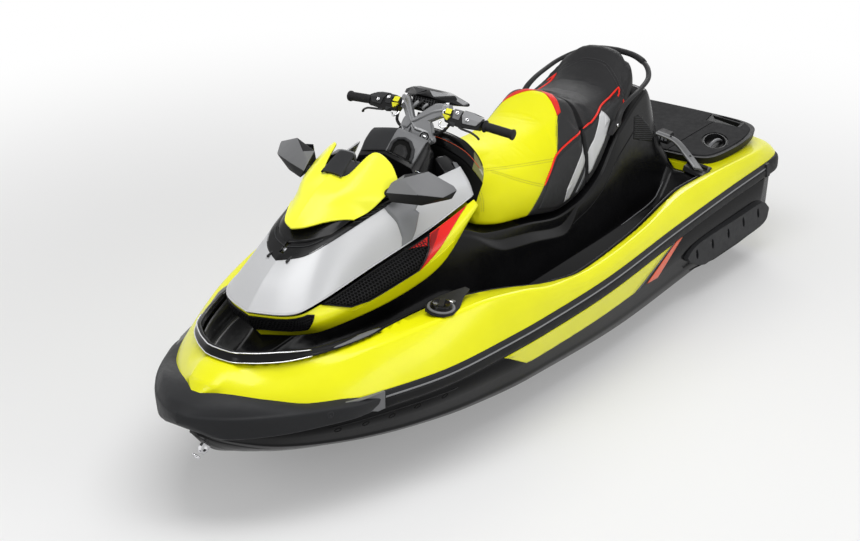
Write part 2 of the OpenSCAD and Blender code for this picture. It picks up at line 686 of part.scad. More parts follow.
module pad_form() {
    hull() for (s = [-1, 1]) {
        translate([-34, s * 124, 142]) sphere(d = 28, $fn = 16);
        translate([-12, s * 60, 154]) sphere(d = 36, $fn = 16);
        translate([24, s * 60, 138]) sphere(d = 24, $fn = 16);
    }
}
module bar_pad() {
    color([0.06, 0.06, 0.06]) on_column() pad_form();
}

// ---- Gauges ---------------------------------------------------------------------------
pod_rings = [[2040, 120, 985], [2060, 124, 1004], [2085, 120, 1010], [2105, 96, 996]];
module gauges() {
    color([0.04, 0.04, 0.04])
    loft([for (c = pod_rings)
        ring(c[0], [[c[1], 740], [c[1] + 10, c[2] - 30], [c[1] - 16, c[2] - 6], [0, c[2]]])]);
}

// ---- Seat -------------------------------------------------------------------------------
seat_split = 1240;
seat_x = [735, 2012];
seat_top = [[735, 1020], [765, 1043], [850, 975], [950, 925], [1050, 920], [1130, 935],
            [1200, 955], [1270, 980], [1330, 956], [1452, 910], [1600, 900], [1750, 910],
            [1900, 935], [1980, 935], [2035, 880]];
seat_foot_y = [[735, 120], [800, 180], [957, 212], [1145, 225], [1440, 238], [1715, 242],
               [1900, 235], [2000, 195], [2035, 120]];
seat_edge_y = [[735, 92], [800, 146], [900, 170], [1100, 165], [1270, 160], [1450, 150],
               [1650, 130], [1850, 112], [2035, 70]];
function seat_half(x) =
    let (b = fair(seat_foot, x) + 5, t = fair(seat_top, x), w = fair(seat_foot_y, x),
         e = fair(seat_edge_y, x))
    [[w - 8, b], [w, b + 12], [w - 3, b + (t - b) * 0.35], [(w + e) / 2, b + (t - b) * 0.68],
     [e, t - 52], [e * 0.78, t - 20], [e * 0.4, t - 4], [0, t]];
module driver_seat() {
    color([0.85, 0.88, 0.03])
    loft([for (x = concat(span(seat_split + 3, 1400, 6), span(1470, 1950, 6), [1985, seat_x[1]]))
          ring(x, seat_half(x))]);
}
module passenger_seat() {
    color([0.06, 0.06, 0.06])
    loft([for (x = concat([seat_x[0], 750, 770, 800], span(850, seat_split - 3, 7)))
          ring(x, seat_half(x))]);
}
strap_t = 4;
module seat_strap() {
    half = [for (i = [7 : -1 : 3]) [for (x = [seat_split - 20, seat_split, seat_split + 20])
        [x, seat_half(x)[i][0], seat_half(x)[i][1]]]];
    color([0.03, 0.03, 0.03]) shell(both_sides(half), strap_t, strap_t + 2.5);
}
handle_path = [[1040, 238, 800], [1000, 238, 858], [930, 238, 888], [840, 236, 907],
               [750, 222, 928], [682, 172, 955], [642, 90, 973], [632, 0, 978]];
handle_d = 30;
module grab_handle() {
    p = line(handle_path, 20);
    all = concat(p, [for (i = [19 : -1 : 0]) flip_y(p[i])]);
    color([0.05, 0.05, 0.05])
    loft([for (i = [0 : len(all) - 1])
        let (a = all[max(i - 1, 0)], b = all[min(i + 1, len(all) - 1)], t = unit(b - a),
             n = unit(cross([0, 0, 1], t)), u = cross(t, n))
        [for (k = [0 : 9]) all[i] + handle_d / 2 * (cos(36 * k) * n + sin(36 * k) * u)]]);
}

// ---- Jet drive --------------------------------------------------------------------------
pump_x = [440, 612];
pivot_x = 300;
neck_d = 92;
module along_x(x) {
    translate([gx(pump_x[0]) + x - pump_x[0], 0, gz(shaft_z)]) rotate([0, 90, 0]) children();
}
bracket_y = 100;
pin_d = 14;
module pump_housing() {
    color([0.55, 0.56, 0.58])
    difference() {
        union() {
            along_x(pump_x[0]) cylinder(d = pump_d + 20, h = pump_x[1] - pump_x[0]);
            along_x(pump_x[0] - 14) cylinder(r = 100, h = 14);
            along_x(370) cylinder(d1 = neck_d, d2 = pump_d + 20, h = pump_x[0] - 370);
            along_x(306) cylinder(d = neck_d, h = 66);
            pair() translate([gx(pump_x[0]) + 290 - pump_x[0] - 12, bracket_y, gz(shaft_z) - 14])
                cube([pump_x[0] - 290 + 12, 10, 28]);
            pair() translate([gx(pump_x[0]) + pivot_x - pump_x[0], bracket_y - 20, gz(shaft_z)])
                rotate([-90, 0, 0]) cylinder(d = pin_d, h = 54);
        }
        along_x(505) cylinder(d = pump_d, h = 200);
        along_x(pump_x[0]) cylinder(d1 = 74, d2 = pump_d - 24, h = 66);
        along_x(300) cylinder(d = 74, h = 142);
    }
}
module impeller() {
    color([0.7, 0.7, 0.72])
    along_x(525) difference() {
        union() {
            cylinder(d = 66, h = 70);
            translate([0, 0, -14]) cylinder(d1 = 40, d2 = 66, h = 14);
            for (k = [0 : blade_count - 1]) rotate([0, 0, 360 / blade_count * k])
                intersection() {
                    translate([0, 0, 34]) rotate([50, 0, 0])
                        translate([26, -36, -3]) cube([pump_d / 2, 72, 6]);
                    translate([0, 0, 4]) cylinder(d = pump_d - 12, h = 62);
                }
        }
        translate([0, 0, 10]) cylinder(d = shaft_d, h = 80);
    }
}
module drive_shaft() {
    color([0.75, 0.75, 0.76])
    translate([gx(pump_x[0]) + 535 - pump_x[0], 0, gz(shaft_z)]) rotate([0, 90, 0])
        cylinder(d = shaft_d, h = gx(1500) - 5 - gx(pump_x[0]) - 535 + pump_x[0]);
}
module trim_ring() {
    color([0.5, 0.51, 0.53])
    along_x(pivot_x) difference() {
        translate([0, 0, -16]) cylinder(r = 90, h = 32);
        translate([0, 0, -20]) cylinder(r = 81, h = 40);
        rotate([90, 0, 0]) cylinder(d = pin_d + 0.6, h = 300, center = true);
        rotate([0, 90, 0]) cylinder(d = pin_d + 0.6, h = 300, center = true);
    }
}
module steering_nozzle() {
    color([0.5, 0.51, 0.53])
    along_x(pivot_x) difference() {
        union() {
            translate([0, 0, -22]) cylinder(r = 74, h = 44);
            translate([0, 0, -120]) cylinder(d1 = outlet_d + 12, d2 = 148, h = 98);
            rotate([0, 90, 0]) cylinder(d = pin_d, h = 176, center = true);
        }
        translate([0, 0, -22.1]) cylinder(r = 66, h = 60);
        translate([0, 0, -121]) cylinder(d1 = outlet_d, d2 = 132, h = 99);
    }
}
gate_r = 150;
module reverse_gate() {
    color([0.15, 0.15, 0.16])
    translate([gx(pump_x[0]) + pivot_x - pump_x[0], 0, gz(shaft_z)]) union() {
        rotate([90, 0, 0]) rotate([0, 0, 112]) rotate_extrude(angle = 62)
            translate([gate_r, -126]) square([8, 252]);
        pair() translate([0, 118, 0]) rotate([-90, 0, 0]) difference() {
            union() {
                cylinder(d = 44, h = 8);
                linear_extrude(8) polygon([[0, 20], [0, -20], [gate_r * -cos(68) - 4, -gate_r * sin(68)],
                    [-gate_r * cos(8), -gate_r * sin(8)]]);
            }
            translate([0, 0, -1]) cylinder(d = pin_d + 0.6, h = 12);
        }
    }
}
module ride_plate() {
    color([0.2, 0.2, 0.21])
    translate([gx(pump_x[0]) + 340 - pump_x[0], -tunnel_w / 2 + 2, gz(6)])
        cube([gx(tunnel_x) - gx(pump_x[0]) - 342 + pump_x[0], tunnel_w - 4, 8]);
}
module intake_grate() {
    color([0.2, 0.2, 0.21])
    for (y = [-60, -30, 0, 30, 60]) translate([gx(706), y - 4, gz(6)])
        cube([gx(1074) - gx(706), 8, 16]);
}

// ---- Boarding step ----------------------------------------------------------------------
step_at = [118, -step_y, bond_z - step_l - 30];
module step_brackets() {
    color([0.3, 0.3, 0.31])
    for (s = [-1, 1])
        translate([gx(step_at[0]), step_at[1] * across + s * (step_w / 2 + step_bracket_gap), gz(step_at[2])])
        rotate([90, 0, 0]) union() {
            cylinder(d = 34, h = 10, center = true);
            translate([0, -17, -5]) cube([gx(transom_x) - gx(step_at[0]), 34, 10]);
            translate([0, 0, -5 + (s > 0 ? 0 : -22)]) cylinder(d = 10, h = 32);
        }
}
module boarding_step() {
    color([0.1, 0.1, 0.1])
    translate([gx(step_at[0]), step_at[1] * across, gz(step_at[2])]) difference() {
        union() {
            pair() translate([0, step_w / 2 - step_d / 2, 0]) {
                cylinder(d = step_d, h = step_l);
                sphere(d = step_d + 2);
                translate([0, 0, step_l]) sphere(d = step_d);
            }
            translate([0, -step_w / 2 + step_d / 2, step_l]) rotate([-90, 0, 0])
                cylinder(d = step_d, h = step_w - step_d);
        }
        rotate([90, 0, 0]) cylinder(d = 10.6, h = step_w * 2, center = true);
    }
}

lower_hull();
topside();
bow_bumper();
left_bumper();
right_bumper();
stern_bumper();
mouth_trim();
bow_eye();
left_stern_eye();
right_stern_eye();
left_sponson();
right_sponson();
ride_plate();
intake_grate();
pump_housing();
engine_block();
deck_springs();
fuel_cap();
deck_body();
left_foot_mat();
right_foot_mat();
rear_platform();
platform_mat();
left_arch();
right_arch();
front_fairing();
lower_fairing();
left_grille();
right_grille();
front_grille();
console();
gauges();
storage_bin();
driver_seat();
seat_strap();
grab_handle();
step_brackets();
passenger_seat();
hood_base();
visor();
left_mirror();
right_mirror();
steering_column();
steering_riser();
handlebar();
bar_pad();
left_grip();
right_grip();
left_controls();
right_controls();
impeller();
drive_shaft();
trim_ring();
steering_nozzle();
reverse_gate();
boarding_step();
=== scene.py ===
"""Personal watercraft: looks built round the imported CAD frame. Shells are drawn from a table of
offsets in millimetres, x from the stern, y from the centre plane and z from the keel."""
import bmesh
import bpy
import json
import math
import numpy as np
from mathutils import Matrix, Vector
from mathutils.bvhtree import BVHTree


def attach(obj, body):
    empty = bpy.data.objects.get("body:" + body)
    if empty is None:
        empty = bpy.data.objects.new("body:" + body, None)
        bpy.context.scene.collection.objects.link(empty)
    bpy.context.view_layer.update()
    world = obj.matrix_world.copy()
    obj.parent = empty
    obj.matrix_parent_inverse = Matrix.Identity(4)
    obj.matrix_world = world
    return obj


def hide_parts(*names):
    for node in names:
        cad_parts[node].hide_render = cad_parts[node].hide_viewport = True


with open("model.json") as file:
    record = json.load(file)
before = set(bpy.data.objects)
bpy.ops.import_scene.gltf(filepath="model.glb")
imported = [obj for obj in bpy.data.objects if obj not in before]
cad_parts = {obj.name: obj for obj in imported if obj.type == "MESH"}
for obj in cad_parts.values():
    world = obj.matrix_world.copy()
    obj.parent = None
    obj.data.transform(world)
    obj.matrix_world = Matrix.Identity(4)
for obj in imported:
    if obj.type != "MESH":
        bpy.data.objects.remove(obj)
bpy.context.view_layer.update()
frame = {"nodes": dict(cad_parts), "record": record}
scene = bpy.context.scene
node = frame["nodes"]
HALF_L, DRAFT = 1770.0, 280.0
SIDES = (("left", 1), ("right", -1))
WHITE = (1, 1, 1, 1)


def place(p):
    """Table of offsets, in mm, to the craft's frame, in metres."""
    return (np.asarray(p, float) - [HALF_L, 0, DRAFT]) / 1000


# ---- Guides and meshes -----------------------------------------------------------------
def fair(t, x):
    """Reads a guide, a list of [x, value], along a smooth line with no overshoot."""
    if x <= t[0][0]:
        return t[0][1]
    if x >= t[-1][0]:
        return t[-1][1]
    s = [(b[1] - a[1]) / (b[0] - a[0]) for a, b in zip(t, t[1:])]

    def lean(i):
        if i == 0 or i == len(t) - 1:
            return s[0] if i == 0 else s[-1]
        a, b = s[i - 1], s[i]
        return 0 if a * b <= 0 else 2 * a * b / (a + b)

    i = max(k for k in range(len(t) - 1) if t[k][0] <= x)
    h = t[i + 1][0] - t[i][0]
    u = (x - t[i][0]) / h
    return (t[i][1] * (1 + 2 * u) * (1 - u) ** 2 + lean(i) * h * u * (1 - u) ** 2
            + t[i + 1][1] * u * u * (3 - 2 * u) - lean(i + 1) * h * u * u * (1 - u))


def line(p, n):
    """A smooth line through points, as n + 1 points."""
    p = np.asarray(p, float)
    out = []
    for k in range(n + 1):
        s = k / n * (len(p) - 1)
        i = min(int(s), len(p) - 2)
        a, b, c, d = (p[max(0, min(len(p) - 1, i + j))] for j in (-1, 0, 1, 2))
        u = s - i
        out.append(b + .5 * u * ((c - a) + u * (2 * a - 5 * b + 4 * c - d + u * (3 * (b - c) + d - a))))
    return np.array(out)


def patch(rows, n, m):
    """A smooth patch through rows of points: (n + 1) by (m + 1) by 3."""
    fine = [line(r, n) for r in rows]
    return np.array([line([r[i] for r in fine], m) for i in range(n + 1)])


def at(grid, u, v):
    """A point of a grid at u along it and v across it, both from 0 to 1."""
    n, m = grid.shape[0] - 1, grid.shape[1] - 1
    a, b = min(max(u, 0), 1) * n, min(max(v, 0), 1) * m
    i, j = min(int(a), n - 1), min(int(b), m - 1)
    a, b = a - i, b - j
    return ((grid[i, j] * (1 - a) + grid[i + 1, j] * a) * (1 - b)
            + (grid[i, j + 1] * (1 - a) + grid[i + 1, j + 1] * a) * b)


def unit(v):
    v = np.asarray(v, float)
    return v / max(np.linalg.norm(v), 1e-9)


def outward(grid, u, v):
    d = .004
    a = at(grid, min(u + d, 1), v) - at(grid, max(u - d, 0), v)
    b = at(grid, u, min(v + d, 1)) - at(grid, u, max(v - d, 0))
    return unit(np.cross(b, a))


def rounded(points, radius, steps=3):
    """A section line with its corners turned on a radius."""
    p = [np.asarray(q, float) for q in points]
    out = [p[0]]
    for i in range(1, len(p) - 1):
        r = radius[i] if hasattr(radius, "__len__") else radius
        a, b = p[i - 1] - p[i], p[i + 1] - p[i]
        d = min(r, .42 * np.linalg.norm(a), .42 * np.linalg.norm(b))
        s, e = p[i] + unit(a) * d, p[i] + unit(b) * d
        for k in range(steps + 1):
            t = k / steps
            out.append(s * (1 - t) ** 2 + 2 * p[i] * t * (1 - t) + e * t * t)
    return np.array(out + [p[-1]])


def across(half):
    """A line or rows of points up to the centre plane, carried on to the other side."""
    return np.concatenate([half, (half * [1, -1, 1])[-2::-1]])


def heading(p, i):
    """The way that a line of points runs at point i."""
    return p[min(i + 1, len(p) - 1)] - p[max(i - 1, 0)]


def tapered(path, r, start, end):
    """Radii for a tube that is thinner at its ends."""
    return [start] + [r] * (len(path) - 2) + [end]


def mounted(name, me, mats, body, replaces):
    """A mesh as an object that rides on a body."""
    for m in (mats if isinstance(mats, (list, tuple)) else [mats]):
        me.materials.append(m)
    ob = bpy.data.objects.new(name, me)
    scene.collection.objects.link(ob)
    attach(ob, body)
    if replaces:
        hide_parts(*replaces)
    return ob


def piece(name, verts, faces, mats, body, replaces=(), smooth=True, which=None):
    """A mesh piece that rides on a body. Its points are in mm of the table of offsets."""
    me = bpy.data.meshes.new(name)
    me.from_pydata([tuple(v) for v in place(verts)], [], [tuple(int(i) for i in f) for f in faces])
    ob = mounted(name, me, mats, body, replaces)
    me.polygons.foreach_set("use_smooth", [smooth] * len(me.polygons))
    if which is not None:
        me.polygons.foreach_set("material_index", [int(k) for k in which])
    me.validate()
    return ob


def quads(n, m, base=0, wrap=False):
    w = m if wrap else m - 1
    return [(base + i * m + j, base + i * m + (j + 1) % m,
             base + (i + 1) * m + (j + 1) % m, base + (i + 1) * m + j)
            for i in range(n - 1) for j in range(w)]


def modifier(ob, kind, **settings):
    m = ob.modifiers.new(kind.title(), kind)
    for k, v in settings.items():
        setattr(m, k, v)
    return m


def bevelled(ob, width, steps=2, angle=30):
    modifier(ob, "BEVEL", width=width / 1000, segments=steps, limit_method="ANGLE",
             angle_limit=math.radians(angle), harden_normals=True)
    return ob


def both(half):
    """A half grid, centre plane first, made whole across it."""
    half = np.asarray(half, float)
    return np.concatenate([half[:0:-1] * [1, -1, 1], half], axis=0)


def sheet_of(name, grid, mats, body, slot, thick=0, replaces=(), which=None, offset=-1):
    g = np.asarray(grid, float)
    n, m = g.shape[:2]
    ob = piece(name, g.reshape(-1, 3), quads(n, m), mats, body, replaces, which=which)
    if thick:
        modifier(ob, "SOLIDIFY", thickness=thick / 1000, offset=offset)
    return ob


def loft(name, rings, mats, body, slot, replaces=(), which=None):
    """A skin over closed rings of points, with both its ends closed."""
    g = np.asarray(rings, float)
    n, m = g.shape[:2]
    faces = quads(n, m, wrap=True) + [tuple(range(m))[::-1], tuple((n - 1) * m + j for j in range(m))]
    if which is not None:
        which = list(which) + [0, 0]
    return piece(name, g.reshape(-1, 3), faces, mats, body, replaces, which=which)


def ring(p, t, r, sides, flat):
    """Points round p, across the direction t; flat is their height to their width."""
    s = np.cross([0, 0, 1], t)
    s = unit(s) if np.linalg.norm(s) > 1e-3 else unit(np.cross([1, 0, 0], t))
    w = np.cross(t, s)
    turn = [2 * math.pi * k / sides for k in range(sides)]
    return [p + r * (math.cos(a) * s + flat * math.sin(a) * w) for a in turn]


def tube(name, path, radius, mats, body, slot, sides=14, replaces=(), closed=False, flat=1.0):
    """A tube along a path; radius is one number or one for each point."""
    p = np.asarray(path, float)
    n = len(p)
    rs = radius if hasattr(radius, "__len__") else [radius] * n
    rings = []
    for i in range(n):
        t = unit(p[(i + 1) % n] - p[(i - 1) % n] if closed else heading(p, i))
        rings.append(ring(p[i], t, rs[i], sides, flat))
    if closed:
        g = np.array(rings + [rings[0]])
        return piece(name, g[:-1].reshape(-1, 3),
                     [tuple(v % (n * sides) for v in f) for f in quads(n + 1, sides, wrap=True)],
                     mats, body, replaces)
    return loft(name, rings, mats, body, slot, replaces)


def turned(name, profile, centre, axis, mats, body, slot, sides=40, replaces=(), which=None):
    """A turned solid: its profile is (radius, height) pairs in mm, along an axis at a centre."""
    z = Vector(axis).normalized()
    q = z.to_track_quat("Z", "Y")
    rings = []
    for r, h in profile:
        rings.append([np.asarray(centre, float) + np.array(q @ Vector((
            max(r, .01) * math.cos(2 * math.pi * k / sides),
            max(r, .01) * math.sin(2 * math.pi * k / sides), h)))
            for k in range(sides)])
    if which is not None:
        which = [w for w in which for _ in range(sides)]
    return loft(name, rings, mats, body, slot, replaces, which=which)


def plate(name, outline, thick, origin, xdir, ydir, mats, body, slot, bevel=1.0, replaces=()):
    """A flat plate from an outline in its own plane, with its edges bevelled."""
    x, y = unit(xdir), unit(ydir)
    z = unit(np.cross(x, y))
    y = np.cross(z, x)
    o = np.asarray(origin, float)
    low = [o + a * x + b * y for a, b in outline]
    return solid(name, low, [p + thick * z for p in low], mats, body, slot, bevel, replaces)


def drum(n):
    """The faces of a prism between two loops of n points."""
    return [tuple(range(n))[::-1], tuple(range(n, 2 * n))] + [
        (i, (i + 1) % n, n + (i + 1) % n, n + i) for i in range(n)]


def solid(name, low, high, mats, body, slot, bevel=2.0, replaces=()):
    """A prism between two matching loops of points, with its edges bevelled."""
    ob = piece(name, list(low) + list(high), drum(len(low)), mats, body, replaces)
    return bevelled(ob, bevel) if bevel else ob


def hull_of(name, points, mats, body, slot, bevel=3.0, replaces=()):
    """The faceted convex form about some points."""
    bm = bmesh.new()
    for p in place(points):
        bm.verts.new(p)
    bmesh.ops.convex_hull(bm, input=bm.verts)
    bmesh.ops.dissolve_limit(bm, angle_limit=.03, verts=bm.verts, edges=bm.edges)
    me = bpy.data.meshes.new(name)
    bm.to_mesh(me)
    bm.free()
    me.polygons.foreach_set("use_smooth", [True] * len(me.polygons))
    ob = mounted(name, me, mats, body, replaces)
    return bevelled(ob, bevel) if bevel else ob


def apply_to(ob):
    """Makes a piece's modifiers part of its mesh."""
    bpy.context.view_layer.update()
    me = bpy.data.meshes.new_from_object(ob.evaluated_get(bpy.context.evaluated_depsgraph_get()))
    ob.modifiers.clear()
    ob.data = me


def cut(ob, *cutters):
    """Takes cutters, closed meshes, away from a piece, for good."""
    for c in cutters:
        m = ob.modifiers.new("Cut", "BOOLEAN")
        m.operation, m.solver, m.object = "DIFFERENCE", "EXACT", c
    apply_to(ob)
    for c in cutters:
        bpy.data.objects.remove(c)
    return ob


def cutter(verts, faces):
    me = bpy.data.meshes.new("cutter")
    me.from_pydata([tuple(v) for v in place(verts)], [], [tuple(f) for f in faces])
    ob = bpy.data.objects.new("cutter", me)
    scene.collection.objects.link(ob)
    return ob


def prism(outline, z0, z1, axis="z"):
    """A cutter from an outline in the plane across an axis."""
    pts = [[*p, z] for z in (z0, z1) for p in outline]
    if axis == "y":
        pts = [[p[0], p[2], p[1]] for p in pts]
    if axis == "x":
        pts = [[p[2], p[0], p[1]] for p in pts]
    f = drum(len(outline))
    area = sum(a[0] * b[1] - b[0] * a[1] for a, b in zip(outline, outline[1:] + outline[:1]))
    if (area < 0) != (axis == "y"):
        f = [q[::-1] for q in f]
    return cutter(pts, f)


# ---- Materials -------------------------------------------------------------------------
def finish(name, rgb, rough=.3, metal=0.0, coat=0.0, coat_rough=.04, spec=.5, vary=.05, vary_scale=5.0,
           rough_vary=.05, bumps=(), wear=0.0):
    """A procedural material. bumps are (kind, scale, height in mm)."""
    m = bpy.data.materials.new(name)
    m.use_nodes = True
    nt = m.node_tree
    nodes, links = nt.nodes, nt.links
    b = nodes["Principled BSDF"]
    b.inputs["Metallic"].default_value = metal
    b.inputs["Specular IOR Level"].default_value = spec
    b.inputs["Coat Weight"].default_value = coat
    b.inputs["Coat Roughness"].default_value = coat_rough
    where = nodes.new("ShaderNodeTexCoord").outputs["Object"]

    def noise(scale, detail=4):
        n = nodes.new("ShaderNodeTexNoise")
        n.inputs["Scale"].default_value = scale
        n.inputs["Detail"].default_value = detail
        links.new(where, n.inputs["Vector"])
        return n.outputs["Fac"]

    def mix(fac, a, b_):
        n = nodes.new("ShaderNodeMix")
        n.data_type = "RGBA"
        links.new(fac, n.inputs[0])
        for i, v in ((6, a), (7, b_)):
            if isinstance(v, (tuple, list)):
                n.inputs[i].default_value = (*v, 1)
            else:
                links.new(v, n.inputs[i])
        return n.outputs[2]

    def ranged(fac, lo, hi, a=.3, z=.7):
        n = nodes.new("ShaderNodeMapRange")
        for i, v in enumerate((a, z, lo, hi)):
            n.inputs[i + 1].default_value = v
        links.new(fac, n.inputs[0])
        return n.outputs[0]

    colour = mix(ranged(noise(vary_scale), 0, 1), tuple(c * (1 - vary) for c in rgb),
                 tuple(min(1, c * (1 + vary)) for c in rgb))
    if wear:
        geo = nodes.new("ShaderNodeNewGeometry")
        edge = ranged(geo.outputs["Pointiness"], 0, wear, .53, .62)
        colour = mix(edge, colour, tuple(min(1, c * 2.2 + .05) for c in rgb))
    links.new(colour, b.inputs["Base Color"])
    links.new(ranged(noise(vary_scale * 7 + 9, 3), max(.02, rough - rough_vary), rough + rough_vary),
              b.inputs["Roughness"])
    normal = None
    for kind, scale, height in bumps:
        if kind == "noise":
            h = noise(scale, 3)
        elif kind == "wave":
            w = nodes.new("ShaderNodeTexWave")
            w.inputs["Scale"].default_value = scale
            w.bands_direction = "X"
            links.new(where, w.inputs["Vector"])
            h = w.outputs["Fac"]
        else:
            w = nodes.new("ShaderNodeTexVoronoi")
            w.feature = "DISTANCE_TO_EDGE"
            w.inputs["Scale"].default_value = scale
            links.new(where, w.inputs["Vector"])
            h = ranged(w.outputs["Distance"], 0, 1, 0, .12)
        n = nodes.new("ShaderNodeBump")
        n.inputs["Distance"].default_value = height / 1000
        n.inputs["Strength"].default_value = 1
        links.new(h, n.inputs["Height"])
        if normal is not None:
            links.new(normal, n.inputs["Normal"])
        normal = n.outputs["Normal"]
    if normal is not None:
        links.new(normal, b.inputs["Normal"])
    return m


PEEL = (("noise", 160, .006),)
GRAIN = (("grain", 900, .12), ("noise", 90, .05))
yellow = finish("gelcoat_yellow", (.84, .83, .004), .26, coat=.08, spec=.25, vary=.03, bumps=PEEL,
                rough_vary=.01)
yellow_visor = finish("visor_yellow", (.88, .88, .04), .3, coat=.08, spec=.25, vary=.03, bumps=PEEL,
                      rough_vary=.01)
black = finish("gelcoat_black", (.004, .004, .0045), .2, spec=.10, coat=.0, vary=.2, bumps=PEEL,
               rough_vary=.04)
deck_black = finish("deck_black", (.005, .005, .0055), .22, spec=.14, coat=.0, vary=.2,
                    bumps=(("noise", 300, .03),))
dark = finish("moulded_dark", (.021, .0215, .023), .48, spec=.12, vary=.08, bumps=(("noise", 900, .10),),
              wear=.25)
rubber_black = finish("moulded_black", (.009, .009, .0095), .5, spec=.12, vary=.12,
                      bumps=(("noise", 900, .12),), wear=.2)
grey = finish("moulded_grey", (.135, .137, .142), .42, spec=.3, vary=.06, bumps=(("noise", 900, .10),),
              wear=.15)
mid_grey = finish("moulded_mid_grey", (.24, .243, .25), .4, spec=.3, vary=.05, bumps=(("noise", 800, .08),))
silver = finish("silver_paint", (.50, .505, .515), .34, metal=.1, coat=.1, spec=.3, vary=.02, bumps=PEEL,
                rough_vary=.01)
silver_dark = finish("silver_dark", (.20, .205, .215), .34, metal=.1, coat=.1, spec=.3, vary=.03,
                     bumps=PEEL, rough_vary=.01)
red = finish("red_paint", (.80, .012, .008), .26, coat=.1, spec=.25, vary=.04, bumps=PEEL, rough_vary=.01)
red_dark = finish("red_shade", (.30, .004, .004), .3, coat=.1, spec=.2, vary=.06, bumps=PEEL,
                  rough_vary=.01)
orange = finish("orange_film", (.85, .09, .01), .35, coat=.3, vary=.04, bumps=PEEL, rough_vary=.01)
white_film = finish("grey_film", (.55, .555, .565), .35, coat=.2, vary=.06, bumps=PEEL)
mesh_black = finish("mesh_black", (.012, .012, .013), .45, spec=.12, vary=.15, bumps=(("noise", 700, .06),))
pit_black = finish("recess_black", (.006, .006, .006), .8, spec=.05, vary=.2, bumps=(("noise", 300, .2),))
vinyl_yellow = finish("vinyl_yellow", (.84, .82, .002), .45, spec=.2, vary=.03, bumps=GRAIN)
vinyl_black = finish("vinyl_black", (.016, .016, .017), .5, spec=.16, vary=.12, bumps=GRAIN)
vinyl_grey = finish("vinyl_grey", (.026, .0265, .028), .5, spec=.16, vary=.1,
                    bumps=(("grain", 600, .2), ("noise", 90, .05)))
vinyl_red = finish("vinyl_red", (.72, .02, .01), .42, spec=.25, vary=.05, bumps=GRAIN)
piping_red = finish("piping_red", (.80, .022, .010), .38, spec=.25, vary=.05, bumps=(("noise", 500, .08),))
thread = finish("thread", (.09, .09, .095), .7, vary=.1, bumps=(("noise", 1500, .1),))
strap_web = finish("strap_web", (.014, .014, .015), .75, spec=.1, vary=.2,
                   bumps=(("wave", 260, .25), ("noise", 900, .15)))
mat_foam = finish("mat_foam", (.018, .018, .019), .8, spec=.1, vary=.15, bumps=(("noise", 600, .25),))
grip_rub = finish("grip_rubber", (.014, .014, .015), .62, spec=.15, vary=.15, bumps=(("noise", 800, .15),))
chrome = finish("stainless", (.72, .72, .74), .14, metal=1, vary=.03, bumps=(("noise", 200, .02),))
alloy = finish("cast_alloy", (.42, .43, .45), .42, metal=.9, vary=.08, bumps=(("noise", 350, .2),), wear=.2)
powder = finish("powder_black", (.02, .02, .021), .38, spec=.15, vary=.12, bumps=(("noise", 1100, .08),),
                wear=.2)
casting = finish("grey_casting", (.20, .203, .21), .36, metal=.35, coat=.2, vary=.06,
                 bumps=(("noise", 500, .06),), wear=.2)
button = finish("button_yellow", (.78, .76, .01), .4, vary=.05, bumps=(("noise", 700, .08),))
tint = finish("tinted_screen", (.16, .16, .01), .08, coat=.8, vary=.1, bumps=PEEL)
lens = finish("gauge_lens", (.012, .013, .015), .06, coat=.8, vary=.2, bumps=PEEL)
spring_paint = finish("spring_paint", (.55, .42, .04), .4, vary=.1, bumps=(("noise", 300, .1),))
block_grey = finish("engine_grey", (.16, .16, .17), .55, metal=.4, vary=.15, bumps=(("noise", 150, .5),))
glass = finish("mirror_glass", (.5, .52, .55), .04, metal=1, vary=.02, bumps=(("noise", 40, .01),))

# What a piece is made of, the body it rides on and its slot, where several pieces share them
TRIM = (deck_black, "hull", "trim_black")
GREY_TRIM = (grey, "hull", "trim_grey")
RECESS = (pit_black, "hull", "grille_black")
STEEL = (chrome, "hull", "stainless")
MOULDED = (rubber_black, "hull", "trim_black")
DARK_TRIM = (dark, "hull", "trim_black")
BLACK_VINYL = (vinyl_black, "hull", "seat_black")
BUMPER = (dark, "hull", "bumper_grey")
TOPSIDE = (yellow, "hull", "topside_yellow")

# ---- Guides of the hull and the topside ---------------------------------------------------
BOND, STRIP = 370, 70
KEEL_Z = [[0, 0], [2200, 0], [2600, 25], [2900, 75], [3100, 130], [3250, 190], [3350, 240],
          [3420, 300], [3470, 360]]
CHINE_Y = [[0, 520], [700, 520], [1400, 530], [2100, 505], [2450, 450], [2700, 385], [2900, 320],
           [3100, 235], [3250, 160], [3380, 70], [3470, 12]]
CHINE_Z = [[0, 130], [700, 130], [1400, 122], [2100, 142], [2450, 150], [2700, 165], [2900, 185],
           [3100, 215], [3250, 250], [3380, 305], [3470, 365]]
SIDE_Y = [[8, 400], [20, 470], [50, 512], [110, 532], [200, 540], [500, 545], [1070, 565],
          [1750, 597], [2150, 585], [2400, 565], [2650, 535], [2980, 432], [3100, 375],
          [3200, 312], [3300, 232], [3380, 145], [3440, 45], [3452, 12]]
RIDGE_Y = [[8, 372], [30, 440], [107, 490], [277, 520], [632, 505], [900, 500], [1100, 520],
           [1317, 548], [1700, 572], [2050, 570], [2200, 548], [2450, 500], [2850, 395],
           [3100, 288], [3270, 175], [3380, 90], [3452, 8]]
RIDGE_Z = [[8, 470], [277, 505], [632, 520], [1000, 515], [1700, 503], [2050, 535],
           [2200, 570], [2450, 598], [2850, 580], [3100, 545], [3270, 525], [3380, 510],
           [3452, 490]]
RIM_Y = [[8, 355], [107, 455], [277, 470], [480, 480], [700, 468], [860, 463], [1018, 479],
         [1400, 522], [1828, 548], [1993, 528], [2268, 410], [2500, 345], [2850, 330],
         [3000, 290], [3180, 205], [3250, 130], [3290, 60]]
